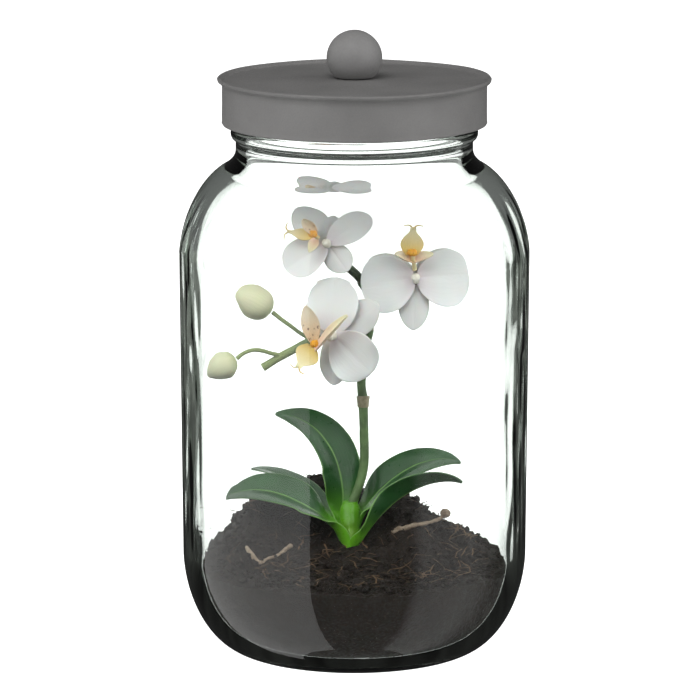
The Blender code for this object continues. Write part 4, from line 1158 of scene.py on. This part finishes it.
def along_sections(height):
    """The crown's half widths at a height."""
    sections = CROWN_SECTIONS
    for low, high in zip(sections, sections[1:]):
        if height <= high[0]:
            share = ease(height, low[0], high[0])
            return low[1] + (high[1] - low[1]) * share, low[2] + (high[2] - low[2]) * share
    return sections[-1][1], sections[-1][2]


def make_crown(settings):
    """The sheath of clasped leaf bases: a lofted body with overlapping folds."""
    start_clean()
    low, high = CROWN_SECTIONS[0][0], CROWN_SECTIONS[-1][0]
    bpy.ops.mesh.primitive_cylinder_add(vertices=72, radius=MM, depth=(high - low) * MM, end_fill_type="NGON")
    crown = named("crown_sheath")
    bpy.ops.object.mode_set(mode="EDIT")
    bpy.ops.mesh.select_all(action="SELECT")
    bpy.ops.mesh.bisect(plane_co=(0.0, 0.0, 0.0), plane_no=UP)
    bpy.ops.object.mode_set(mode="OBJECT")
    bm = bmesh.new()
    bm.from_mesh(crown.data)
    uprights = [edge for edge in bm.edges if abs(edge.verts[0].co.z - edge.verts[1].co.z) > MM]
    bmesh.ops.subdivide_edges(bm, edges=uprights, cuts=15, use_grid_fill=True)
    bm.to_mesh(crown.data)
    bm.free()

    def clasped(place):
        height = place.z + 0.5 * (low + high)
        wide, deep = along_sections(height)
        angle = math.atan2(place.y, place.x)
        lap = 0.0
        for start, lean in ((-1.9, 0.10), (0.4, -0.08), (2.3, 0.06)):
            turn = (angle - start - lean * (height - 55.0) * 0.35) % math.tau
            lap += 0.075 * math.exp(-turn * 1.5) - 0.02
        grow = 1.0 + lap * ease(height, 46.0, 54.0) * (1.0 - ease(height, 66.0, 69.0))
        grow *= 1.0 + (CROWN_SLIM - 1.0) * ease(height, 50.0, 58.0)
        return Vector((PLANT_X + place.x * wide * grow, PLANT_Y + place.y * deep * grow, height))

    reshaped(crown, clasped)
    dressed(crown, sheath_finish(settings))
    placed(crown, "sheath_green", "crown", sharp=75.0)


def bezier(path, t):
    """Point and heading on a cubic given by four points."""
    first, second, third, last = (Vector(point) for point in path)
    back = 1.0 - t
    place = first * back ** 3 + second * 3.0 * back ** 2 * t + third * 3.0 * back * t ** 2 + last * t ** 3
    heading = (second - first) * back ** 2 + (third - second) * 2.0 * back * t + (last - third) * t ** 2
    return place, heading.normalized()


def leaf_width(t):
    """A strap leaf's half width as a share of the widest."""
    share = LEAF_FOOT + (1.0 - LEAF_FOOT) * t ** 0.9
    return max(math.sin(math.pi * share), 0.0) ** 0.8


def leaf_fold(t, fold):
    """How far a leaf's halves stand up, in degrees: little at its foot, most at a third, less at its tip."""
    if t < LEAF_FULL_FOLD:
        return LEAF_BASE_FOLD + (fold - LEAF_BASE_FOLD) * t / LEAF_FULL_FOLD
    return fold + (LEAF_TIP_FOLD - fold) * (t - LEAF_FULL_FOLD) / (1.0 - LEAF_FULL_FOLD)


def midrib(path, t):
    """Point and heading on a leaf's midrib, which below t = 0 runs down into the crown."""
    if t >= 0.0:
        return bezier(path, t)
    start, heading = bezier(path, 0.0)
    foot = Vector(CROWN_FOOT) + Vector((start.x - PLANT_X, start.y - PLANT_Y, 0.0)) * 0.25
    bend = start - heading * 0.4 * (start - foot).length
    down = -t / LEAF_ROOTED
    back = 1.0 - down
    place = start * back ** 2 + bend * 2.0 * back * down + foot * down ** 2
    return place, -((bend - start) * back + (foot - bend) * down).normalized()


def leaf_rule(spec, seed):
    """The middle surface of one strap leaf: a gutter at its foot that opens into a channelled strap."""
    def rule(share, t):
        t = -LEAF_ROOTED + (LEAF_END + LEAF_ROOTED) * t
        place, heading = midrib(spec["path"], t)
        turn = math.radians(spec["roll"]) * min(max(t, 0.0) / LEAF_ROLL_START, 1.0)
        inward = (UP - heading * heading.dot(UP)).normalized()
        side = heading.cross(inward)
        side_turned = side * math.cos(turn) + inward * math.sin(turn)
        face = inward * math.cos(turn) - side * math.sin(turn)
        rise = math.radians(leaf_fold(max(t, 0.0), spec["fold"]))
        half = spec["half_width"] * leaf_width(max(t, 0.0)) * (1.0 + 0.9 * min(t, 0.0))
        lift = math.sqrt(share * share + 0.006) * half * math.sin(rise) * (1.0 - 0.25 * abs(share))
        lift += 0.3 * abs(share) ** 3 * waves(Vector((seed * 7.0, t * 5.0, share)), 1.0) * ease(t, 0.1, 0.4)
        strap = side_turned * (half * share * math.cos(rise)) + face * lift
        wrap = math.radians(LEAF_ROOT_WRAP)
        gutter = side_turned * (half / wrap * 1.5 * math.sin(wrap * share))
        gutter += face * (half / wrap * 1.5 * (1.0 - math.cos(wrap * share)))
        return place + gutter.lerp(strap, ease(t, -0.10, 0.10))

    return rule


def make_leaves(settings):
    """The five strap leaves."""
    finish = leaf_finish(settings)
    for seed, (name, spec) in enumerate(LEAVES.items()):
        leaf = blade(
            name + "_blade", 22, 66, leaf_rule(spec, seed), LEAF_RIB_THICKNESS, edge=LEAF_EDGE_SHARE,
        )
        dressed(leaf, finish)
        placed(leaf, "leaf_green", name, sharp=80.0)


def stem_swell(place, _t):
    """The stem is thicker at its nodes."""
    swell = 1.0
    for height in STEM_NODES:
        swell += (NODE_SWELL - 1.0) * math.exp(-((place.z - height) / NODE_SPREAD) ** 2)
    return swell


def make_spike(settings):
    """The flower stem, its cut side branch and the stalks, grown into one another."""
    rods = [
        rod("stem", STEM_ROUTE, STEM_RADIUS, stem_swell),
        rod("branch", BRANCH_ROUTE, BRANCH_RADIUS, lambda _place, t: 1.12 - 0.2 * t + 0.12 * ease(t, 0.9, 1.0)),
        rod("upper_bud_stalk", UPPER_BUD_STALK, BUD_STALK_RADIUS, lambda _place, t: 1.1 + 0.15 * ease(t, 0.8, 1.0)),
        rod("lower_bud_stalk", LOWER_BUD_STALK, BUD_STALK_RADIUS, lambda _place, t: 1.1 + 0.15 * ease(t, 0.8, 1.0)),
        rod("front_stalk", FRONT_STALK, STALK_RADIUS),
        rod("right_stalk", RIGHT_STALK, STALK_RADIUS),
        rod("top_stalk", TOP_STALK, STALK_RADIUS),
    ]
    spike = joined("flower_spike_stem", rods)
    modify(spike, "REMESH", mode="VOXEL", voxel_size=STEM_VOXEL * MM, use_smooth_shade=True)
    modify(spike, "SMOOTH", factor=0.5, iterations=5)
    dressed(spike, stem_finish(settings))
    placed(spike, "stem_green", "flower_spike", sharp=80.0)


def make_bracts():
    """The papery bracts that clasp the stem's nodes."""
    finish = waxy_finish("bract_finish", (0.34, 0.29, 0.20), (0.20, 0.17, 0.10))
    bracts = []
    for centre, radius, height, lean in (((4.0, 1.0), 2.75, 115.4, 0.1), ((6.3, 1.2), 2.7, 151.0, -0.1)):
        def clasp(share, t, centre=centre, radius=radius, height=height, lean=lean):
            angle = math.pi * (1.08 * share - 0.5) + lean
            flare = radius + 0.35 * t * t - 0.2 * (1.0 - t)
            top = 5.6 * t * (1.0 - 0.45 * share * share) - 2.6
            return Vector((centre[0] + flare * math.cos(angle), centre[1] + flare * math.sin(angle), height + top))

        bracts.append(dressed(blade("bract", 18, 8, clasp, 0.35), finish))
    piece = joined("stem_bracts", bracts)
    placed(piece, "pale_bark", sharp=70.0)


def make_buds(settings):
    """Two closed buds with three faint seams, thick end at the stalk."""
    finish = bud_finish(settings)
    for name, spec in BUDS.items():
        start = Vector(spec["foot"])
        axis = Vector(spec["tip"]) - start
        turn = UP.rotation_difference(axis).to_matrix()
        bud = ball(name + "_egg", 60, 40)

        def egg(place, start=start, axis=axis, turn=turn, half_width=spec["half_width"]):
            angle = math.atan2(place.y, place.x)
            seam = 1.0 - BUD_SEAM_DEPTH * abs(math.cos(0.5 * BUD_SEAMS * angle + 0.6)) ** 10
            width = half_width * (1.0 - 0.16 * place.z) * seam
            local = Vector((place.x * width, place.y * width, 0.5 * axis.length * (place.z + 1.0)))
            return start + turn @ local

        reshaped(bud, egg)
        dressed(bud, finish)
        placed(bud, "bud_cream", name, sharp=80.0)


def bloom_place(spec):
    """The bloom's frame: x to the viewer's right, y up and z out of its face."""
    turn_left = Matrix.Rotation(math.radians(-spec["yaw"]), 4, "Z")
    lean = Matrix.Rotation(math.radians(90.0 - spec["pitch"]), 4, "X")
    return Matrix.Translation(spec["centre"]) @ turn_left @ lean


def petal_outline(t):
    """Half width of a broad petal with a narrow foot, as a share of the widest."""
    widest = 0.56
    if t < widest:
        return 0.2 + 0.8 * (1.0 - ((widest - t) / widest) ** 2) ** 0.8
    return max(1.0 - ((t - widest) / (1.0 - widest)) ** 2.3, 0.0) ** 0.5


def sepal_outline(t):
    """Half width of an oval sepal, as a share of the widest."""
    widest = 0.52
    if t < widest:
        return 0.3 + 0.7 * (1.0 - ((widest - t) / widest) ** 2) ** 0.7
    return max(1.0 - ((t - widest) / (1.0 - widest)) ** 1.9, 0.0) ** 0.6


def tepal_rule(tepal, outline, frame_at, bend, cup, height, ripple):
    """The middle surface of one petal or sepal of (angle, length, half width)."""
    angle, length, half_width = tepal
    turn = math.radians(angle)
    out = Vector((math.cos(turn), math.sin(turn), 0.0))
    side = Vector((-math.sin(turn), math.cos(turn), 0.0))

    def rule(share, t):
        t = 0.998 * t
        rise = height - bend * length * t * t + cup * share * share * math.sin(math.pi * t)
        rise += ripple * abs(share) ** 2.2 * math.sin(9.0 * t + angle) * ease(t, 0.15, 0.6)
        rise -= 0.45 * math.exp(-((share / 0.13) ** 2)) * (1.0 - t) * ease(t, 0.0, 0.2)
        reach = out * (TEPAL_ROOT + (length - TEPAL_ROOT) * t) + side * (share * half_width * outline(t))
        return frame_at @ (reach + Vector((0.0, 0.0, rise)))

    return rule


def egg_part(name, size, centre, frame_at, finish, sides=24, rings=14):
    """A ball of three half sizes about a centre in the bloom's frame."""
    item = ball(name, sides, rings)
    half = Vector(size)
    middle = Vector(centre)
    reshaped(item, lambda place: frame_at @ (Vector((place.x * half.x, place.y * half.y, place.z * half.z)) + middle))
    return dressed(item, finish)


def make_blooms(settings):
    """The petals, sepals and column of each bloom."""
    white = tuple(settings.petal)
    # The third colour is the foot's tint with painted shade, the fourth the edge's tint.
    petal = petal_finish("petal_finish", white, (0.70, 0.60, 0.66), (0.86, 0.84, 0.85))
    sepal = petal_finish("sepal_finish", tuple(0.93 * part for part in white), (0.60, 0.56, 0.52), (0.66, 0.70, 0.60))
    column = waxy_finish("column_finish", (0.80, 0.74, 0.62), (0.84, 0.80, 0.74))
    for label, spec in BLOOMS.items():
        frame_at = bloom_place(spec)
        parts = [egg_part("column", COLUMN_SIZE, COLUMN_CENTRE, frame_at, column)]
        parts.append(egg_part("anther_cap", (1.5, 1.4, 1.3), (0.0, -0.9, 4.3), frame_at, column))
        for layer, shape in enumerate(spec["petals"]):
            height = TEPAL_LAYER * layer
            rule = tepal_rule(shape, petal_outline, frame_at, PETAL_BEND, PETAL_CUP, height, PETAL_RIPPLE)
            parts.append(dressed(blade("petal", 20, 26, rule, TEPAL_THICKNESS, edge=0.5), petal))
        for layer, shape in enumerate(spec["sepals"]):
            height = -SEPAL_SET_BACK - TEPAL_LAYER * layer
            rule = tepal_rule(shape, sepal_outline, frame_at, SEPAL_BEND, SEPAL_CUP, height, SEPAL_RIPPLE)
            parts.append(dressed(blade("sepal", 16, 24, rule, TEPAL_THICKNESS, edge=0.5), sepal))
        bloom = joined("bloom_%s_tepals" % label, parts)
        placed(bloom, "petal_white", "bloom_" + label, sharp=80.0)


def lobe_rule(start, tip, half_width, facing, outline, frame_at, curl):
    """The middle surface of a lobe of the lip, which curls along its length."""
    start, tip, facing = Vector(start), Vector(tip), Vector(facing)
    side = facing.cross(tip - start).normalized()
    face = (tip - start).cross(side).normalized()

    def rule(share, t):
        place = start + (tip - start) * t + side * (share * half_width * outline(t))
        lift = LIP_CUP * (share * share + t * t) + curl * share * share * math.sin(math.pi * t)
        return frame_at @ (place + face * lift)

    return rule


def mid_lobe_outline(t):
    """Half width of the arrow-shaped middle lobe, as a share of the widest."""
    return 0.4 + 0.6 * math.sin(math.pi * min(1.2 * t, 1.0)) - 0.18 * t


def side_lobe_outline(t):
    """Half width of a rounded side lobe, as a share of the widest."""
    return max(0.45 + 0.55 * math.sin(math.pi * t) - 0.2 * t, 0.0) * (1.0 - ease(t, 0.82, 1.04) ** 2) ** 0.5


def make_lips(settings):
    """The lip of each bloom: claw, callus, arrow-shaped middle lobe with tendrils, and two side lobes."""
    cream = tuple(settings.lip)
    spotted = lip_finish("lip_spotted_finish", (0.72, 0.52, 0.34), (0.80, 0.70, 0.56), 0.9)
    pink = lip_finish("lip_pink_finish", (0.80, 0.56, 0.44), (0.82, 0.76, 0.52), 0.25)
    middle = lip_finish("lip_cream_finish", (0.72, 0.50, 0.14), cream, 0.0)
    orange = waxy_finish("callus_finish", (0.80, 0.40, 0.03), (0.72, 0.30, 0.02))
    for label, spec in BLOOMS.items():
        frame_at = bloom_place(spec)
        callus = Vector(spec["callus"])
        foot = Vector((callus.x, callus.y, 0.0)).normalized() * LIP_CLAW_CLEARANCE
        foot.z = LIP_CLAW_HEIGHT
        parts = [dressed(rod("claw", (frame_at @ foot, frame_at @ callus), LIP_CLAW_RADIUS, steps=2), middle)]
        for hand in (-1.0, 1.0):
            centre = callus + Vector((0.7 * hand, 0.0, 0.2))
            parts.append(egg_part("callus", CALLUS_SIZE, centre, frame_at, orange, 16, 10))
        for (start, tip, half_width, facing), finish in zip(spec["side_lobes"], (spotted, pink)):
            rule = lobe_rule(start, tip, half_width, facing, side_lobe_outline, frame_at, 1.6)
            parts.append(dressed(blade("side_lobe", 14, 20, rule, 0.55, edge=0.6), finish))
        start, tip, half_width = spec["mid_lobe"]
        rule = lobe_rule(start, tip, half_width, UP, mid_lobe_outline, frame_at, -1.0)
        parts.append(dressed(blade("mid_lobe", 16, 20, rule, 0.6, edge=0.6), middle))
        ahead = (Vector(tip) - Vector(start)).normalized()
        across = UP.cross(ahead).normalized()
        root = Vector(tip) - ahead * 0.9 + UP * LIP_CUP
        for hand in (-1.0, 1.0):
            bend = root + across * (hand * 1.8) + ahead * 1.6
            end = root + across * (hand * TENDRIL_SPREAD) + ahead * 1.4
            route = [frame_at @ root, frame_at @ bend, frame_at @ end]
            thin = rod("tendril", route, TENDRIL_RADIUS, lambda _place, t: 1.25 - 0.75 * t)
            parts.append(dressed(thin, middle))
        lip = joined("lip_%s_lobes" % label, parts)
        placed(lip, "lip_yellow", "lip_" + label, sharp=80.0)


def rough_rod(name, route, radius, finish, knob=0.0):
    """A rough bark rod with a knob at its end."""
    item = rod(name, route, radius, lambda _place, t: 0.85 + 0.25 * math.sin(7.0 * t), steps=8)
    parts = [item]
    if knob:
        parts.append(egg_part("knob", (knob, 0.85 * knob, 0.9 * knob), route[-1], Matrix.Identity(4), finish))
    whole = joined(name, parts)
    modify(whole, "REMESH", mode="VOXEL", voxel_size=0.3 * MM, use_smooth_shade=True)
    reshaped(whole, lambda place: place + Vector((0.0, 0.25, 0.35)) * waves(place, 1.7))
    return dressed(whole, finish)


def make_bark():
    """The pale bark strip on the right and the dry forked root on the left."""
    finish = bark_finish()
    strip = rough_rod("bark_strip_rod", BARK_ROUTE, BARK_RADIUS, finish, BARK_KNOB_RADIUS)
    placed(strip, "pale_bark", "bark_strip", sharp=80.0)
    route = [(x, y, soil_height(x, y) + ROOT_RISE) for x, y in ROOT_PLACES]
    root = rough_rod("dry_root_rod", route, ROOT_RADIUS, finish)
    placed(root, "pale_bark", "dry_root", sharp=80.0)


def stage_world(settings):
    """White behind the jar, darker where the edges of the glass look, and soft light from all round."""
    world = bpy.data.worlds.new("studio")
    bpy.context.scene.world = world
    world.use_nodes = True
    world.cycles.sampling_method = "NONE"
    tree = Tree(world.node_tree)
    path = tree.add("ShaderNodeLightPath").outputs
    deep = tree.math("GREATER_THAN", path["Transmission Depth"], 2.5)
    seen = tree.math("MAXIMUM", path["Is Camera Ray"], deep)
    edge = tree.math("COMPARE", path["Transmission Depth"], 2.0)
    dark = tree.span(edge, 0.0, 1.0, settings.flags, 0.7 * settings.edge)
    soft = tree.math("MAXIMUM", tree.math("MULTIPLY", path["Is Diffuse Ray"], settings.ambient), dark)
    plain = tree.math("SUBTRACT", 1.0, path["Is Diffuse Ray"])
    white = tree.math("MULTIPLY", tree.math("MULTIPLY", seen, plain), settings.white)
    tree.feed(world.node_tree.nodes["Background"], "Strength", tree.math("MAXIMUM", soft, white))
    tree.feed(world.node_tree.nodes["Background"], "Color", (1.0, 1.0, 1.0))


def floor_finish(settings):
    """Matte white table that glows enough to wash out to white behind the jar."""
    made, tree, shader = new_material("floor_finish", roughness=0.9)
    path = tree.add("ShaderNodeLightPath").outputs
    edge = tree.math("COMPARE", path["Transmission Depth"], 2.0)
    bright = tree.math("SUBTRACT", 1.0, tree.math("MAXIMUM", edge, path["Is Diffuse Ray"]))
    grain = tree.group("surface_grain", scale=30.0, contrast=0.3, patch_scale=3.0).outputs
    tree.feed(shader, "Base Color", tree.mix(grain["Patches"], (0.70, 0.70, 0.70), (0.74, 0.74, 0.74)))
    tree.feed(shader, "Emission Color", (1.0, 1.0, 1.0))
    glow = tree.math("MULTIPLY", bright, 0.62 * settings.white)
    tree.feed(shader, "Emission Strength", glow)
    # Painted light: to rays that have passed through the glass twice, the table glows dimly in streaks that grow with
    # distance, standing in for the dark studio seen in the glass's edges.
    place = tree.add("ShaderNodeTexCoord").outputs["Object"]
    far = tree.add("ShaderNodeVectorMath", {0: place}, operation="LENGTH").outputs["Value"]
    ray = tree.add("ShaderNodeVectorMath", {0: place}, operation="NORMALIZE").outputs[0]
    bars = tree.add("ShaderNodeTexNoise", {"Vector": ray, "Scale": 4.2, "Detail": 3.0}).outputs["Fac"]
    streaks = tree.span(bars, 0.36, 0.62, 0.25, 1.5)
    rise = tree.span(far, 0.12, 1.0, 0.04, 1.0)
    strength = tree.math("MULTIPLY", tree.math("MULTIPLY", rise, streaks), settings.edge)
    dark = tree.add("ShaderNodeEmission", {"Color": (0.96, 1.0, 0.92), "Strength": strength}).outputs[0]
    mixed = tree.add("ShaderNodeMixShader", {0: edge, 1: shader.outputs[0], 2: dark}).outputs[0]
    tree.feed(made.node_tree.nodes["Material Output"], "Surface", mixed)
    return made


def make_floor(settings):
    """The pale table top under the jar."""
    start_clean()
    bpy.ops.mesh.primitive_plane_add(size=1.0)
    floor = named("table_top")
    bpy.ops.object.mode_set(mode="EDIT")
    bpy.ops.mesh.select_all(action="SELECT")
    bpy.ops.transform.resize(value=(3.0, 5.0, 1.0))
    bpy.ops.transform.translate(value=(0.0, 1.0, 0.0))
    bpy.ops.object.mode_set(mode="OBJECT")
    floor.visible_glossy = False
    dressed(floor, floor_finish(settings))


def around(azimuth, distance, height=0.0):
    """A point in metres at an azimuth from the camera's side, plus to the right."""
    turn = math.radians(azimuth)
    return Vector((distance * math.sin(turn), -distance * math.cos(turn), height))


def card(name, brightness, first, last, low, high, soft):
    """An upright glowing card that only gloss sees, between two azimuths. soft fades its sides."""
    start_clean()
    bpy.ops.mesh.primitive_grid_add(x_subdivisions=24, y_subdivisions=1, size=1.0, calc_uvs=True)
    item = named(name)
    for vertex in item.data.vertices:
        share = vertex.co.x + 0.5
        height = low + (high - low) * (vertex.co.y + 0.5)
        vertex.co = around(first + (last - first) * share, CARD_DISTANCE, height)
    made = bpy.data.materials.new(name + "_glow")
    made.use_nodes = True
    tree = Tree(made.node_tree)
    parts = tree.add("ShaderNodeSeparateXYZ", {0: tree.add("ShaderNodeTexCoord").outputs["UV"]}).outputs
    strength = tree.span(parts["Y"], 0.0, 1.0, 0.85 * brightness, brightness)
    if soft:
        inner = tree.add("ShaderNodeMapRange", {0: parts["X"], 1: 0.0, 2: soft}, interpolation_type="SMOOTHSTEP")
        outer = tree.add("ShaderNodeMapRange", {0: parts["X"], 1: 1.0, 2: 0.55}, interpolation_type="SMOOTHSTEP")
        fade = tree.math("MULTIPLY", inner.outputs[0], outer.outputs[0])
        strength = tree.math("MULTIPLY", strength, fade)
    glow = tree.add("ShaderNodeEmission", {"Strength": strength}).outputs[0]
    tree.feed(made.node_tree.nodes["Material Output"], "Surface", glow)
    dressed(item, made)
    for ray in ("camera", "diffuse", "transmission", "shadow"):
        setattr(item, "visible_" + ray, False)


def softbox(name, radiance, first, last, low, high):
    """An upright area light between two azimuths."""
    ends = [around(azimuth, LIGHT_DISTANCE) for azimuth in (first, last)]
    middle = 0.5 * (ends[0] + ends[1]) + UP * 0.5 * (low + high)
    width = (ends[0] - ends[1]).length
    start_clean()
    bpy.ops.object.light_add(type="AREA", location=middle)
    item = named(name)
    item.data.shape = "RECTANGLE"
    item.data.size = width
    item.data.size_y = high - low
    item.data.energy = radiance * math.pi * width * (high - low)
    across = (ends[1] - ends[0]).normalized()
    back = across.cross(UP)
    if back.dot(middle) < 0.0:
        across, back = -across, -back
    turn = Matrix((across, UP, back)).transposed()
    if turn.determinant() < 0.0:
        turn = Matrix((-across, UP, back)).transposed()
    item.rotation_euler = turn.to_euler()
    for ray in ("camera", "glossy", "transmission"):
        setattr(item, "visible_" + ray, False)


def make_lights(settings):
    """A softbox on each side of the jar and one above the front."""
    card("card_left", settings.left_card, -28.8, -118.0, -4.5, 1.6, 0.0)
    card("card_right", settings.right_card, 34.0, 113.0, -4.5, 1.6, 0.16)
    softbox("light_left", settings.left, -30.0, -100.0, 0.05, 1.3)
    softbox("light_right", settings.right, 32.0, 105.0, 0.05, 1.5)
    bpy.ops.object.light_add(type="AREA", location=(-0.35, -0.9, 1.5), rotation=(math.radians(33.0), math.radians(-14.0), 0.0))
    above = named("light_above")
    above.data.shape = "RECTANGLE"
    above.data.size = 1.3
    above.data.size_y = 0.9
    above.data.energy = settings.top * math.pi * 1.3 * 0.9
    for ray in ("camera", "glossy", "transmission"):
        setattr(above, "visible_" + ray, False)


def make_camera():
    """The camera at the photograph's angle and framing."""
    tilt = math.radians(CAMERA_ELEVATION)
    place = Vector((0.0, -math.cos(tilt), math.sin(tilt))) * CAMERA_DISTANCE + UP * AIM_HEIGHT
    start_clean()
    bpy.ops.object.camera_add(location=place * MM, rotation=(math.radians(90.0) - tilt, 0.0, 0.0))
    camera = named("photo_camera")
    camera.data.lens = LENS
    camera.data.sensor_width = SENSOR
    camera.data.clip_end = 20.0
    camera.data.shift_x = (0.5 * FRAME_PIXELS - AIM_PIXEL[0]) / FRAME_PIXELS
    camera.data.shift_y = (AIM_PIXEL[1] - 0.5 * FRAME_PIXELS) / FRAME_PIXELS
    bpy.context.scene.camera = camera


class ORCHIDJAR_OT_groups(bpy.types.Operator):
    """Make the node groups that several finishes share"""
    bl_idname = "orchid_jar.groups"
    bl_label = "Shared Finishes"

    def execute(self, context):
        make_grain_group()
        make_vein_group()
        return {"FINISHED"}


class ORCHIDJAR_OT_stage(bpy.types.Operator):
    """Set up the table, the studio light and the camera"""
    bl_idname = "orchid_jar.stage"
    bl_label = "Stage"

    def execute(self, context):
        settings = context.scene.orchid_jar_stage
        make_camera()
        stage_world(settings)
        make_floor(settings)
        make_lights(settings)
        context.scene.view_settings.view_transform = "Standard"
        return {"FINISHED"}


class ORCHIDJAR_OT_jar(bpy.types.Operator):
    """Turn the glass jar"""
    bl_idname = "orchid_jar.jar"
    bl_label = "Glass Jar"

    def execute(self, context):
        make_jar(context.scene.orchid_jar_glass)
        return {"FINISHED"}


class ORCHIDJAR_OT_cover(bpy.types.Operator):
    """Turn the cover and its ball knob, and plate the screw"""
    bl_idname = "orchid_jar.cover"
    bl_label = "Cover and Knob"

    def execute(self, context):
        settings = context.scene.orchid_jar_cover
        make_cover(settings)
        make_knob(settings)
        make_screw()
        return {"FINISHED"}


class ORCHIDJAR_OT_soil(bpy.types.Operator):
    """Heap the peat, its crumbs and its fibres"""
    bl_idname = "orchid_jar.soil"
    bl_label = "Peat"

    def execute(self, context):
        settings = context.scene.orchid_jar_soil
        soil = make_soil(settings)
        make_crumbs(settings, soil.data.materials[0])
        make_fibres(settings)
        make_bark()
        return {"FINISHED"}


class ORCHIDJAR_OT_leaves(bpy.types.Operator):
    """Grow the crown and the five leaves"""
    bl_idname = "orchid_jar.leaves"
    bl_label = "Crown and Leaves"

    def execute(self, context):
        settings = context.scene.orchid_jar_plant
        make_crown(settings)
        make_leaves(settings)
        return {"FINISHED"}


class ORCHIDJAR_OT_spike(bpy.types.Operator):
    """Grow the flower stem with its bracts and buds"""
    bl_idname = "orchid_jar.spike"
    bl_label = "Flower Stem and Buds"

    def execute(self, context):
        settings = context.scene.orchid_jar_plant
        make_spike(settings)
        make_bracts()
        make_buds(settings)
        return {"FINISHED"}


class ORCHIDJAR_OT_blooms(bpy.types.Operator):
    """Open the three blooms with their lips"""
    bl_idname = "orchid_jar.blooms"
    bl_label = "Blooms"

    def execute(self, context):
        settings = context.scene.orchid_jar_plant
        make_blooms(settings)
        make_lips(settings)
        return {"FINISHED"}


OPERATORS = (
    ORCHIDJAR_OT_groups, ORCHIDJAR_OT_stage, ORCHIDJAR_OT_jar, ORCHIDJAR_OT_cover, ORCHIDJAR_OT_soil,
    ORCHIDJAR_OT_leaves, ORCHIDJAR_OT_spike, ORCHIDJAR_OT_blooms,
)
SETTINGS = {
    "orchid_jar_glass": OrchidJarGlass,
    "orchid_jar_cover": OrchidJarCover,
    "orchid_jar_soil": OrchidJarSoil,
    "orchid_jar_plant": OrchidJarPlant,
    "orchid_jar_stage": OrchidJarStage,
}


class ORCHIDJAR_PT_sidebar(bpy.types.Panel):
    """The steps and settings of the orchid in its jar"""
    bl_idname = "ORCHIDJAR_PT_sidebar"
    bl_label = "Orchid Jar"
    bl_space_type = "VIEW_3D"
    bl_region_type = "UI"
    bl_category = "Orchid Jar"

    def draw(self, context):
        for name, group in SETTINGS.items():
            box = self.layout.box()
            for field in group.__annotations__:
                box.prop(getattr(context.scene, name), field)
        for step in OPERATORS:
            self.layout.operator(step.bl_idname)


def register():
    """Register the settings, the operators and the panel."""
    for name, group in SETTINGS.items():
        bpy.utils.register_class(group)
        setattr(bpy.types.Scene, name, PointerProperty(type=group))
    for step in OPERATORS:
        bpy.utils.register_class(step)
    bpy.utils.register_class(ORCHIDJAR_PT_sidebar)


def unregister():
    """Take the panel, the operators and the settings away again."""
    bpy.utils.unregister_class(ORCHIDJAR_PT_sidebar)
    for step in reversed(OPERATORS):
        bpy.utils.unregister_class(step)
    for name, group in reversed(SETTINGS.items()):
        delattr(bpy.types.Scene, name)
        bpy.utils.unregister_class(group)


def main():
    """Make every piece in order."""
    register()
    for step in OPERATORS:
        area, action = step.bl_idname.split(".")
        getattr(getattr(bpy.ops, area), action)()
    start_clean()


if __name__ == "__main__":
    main()
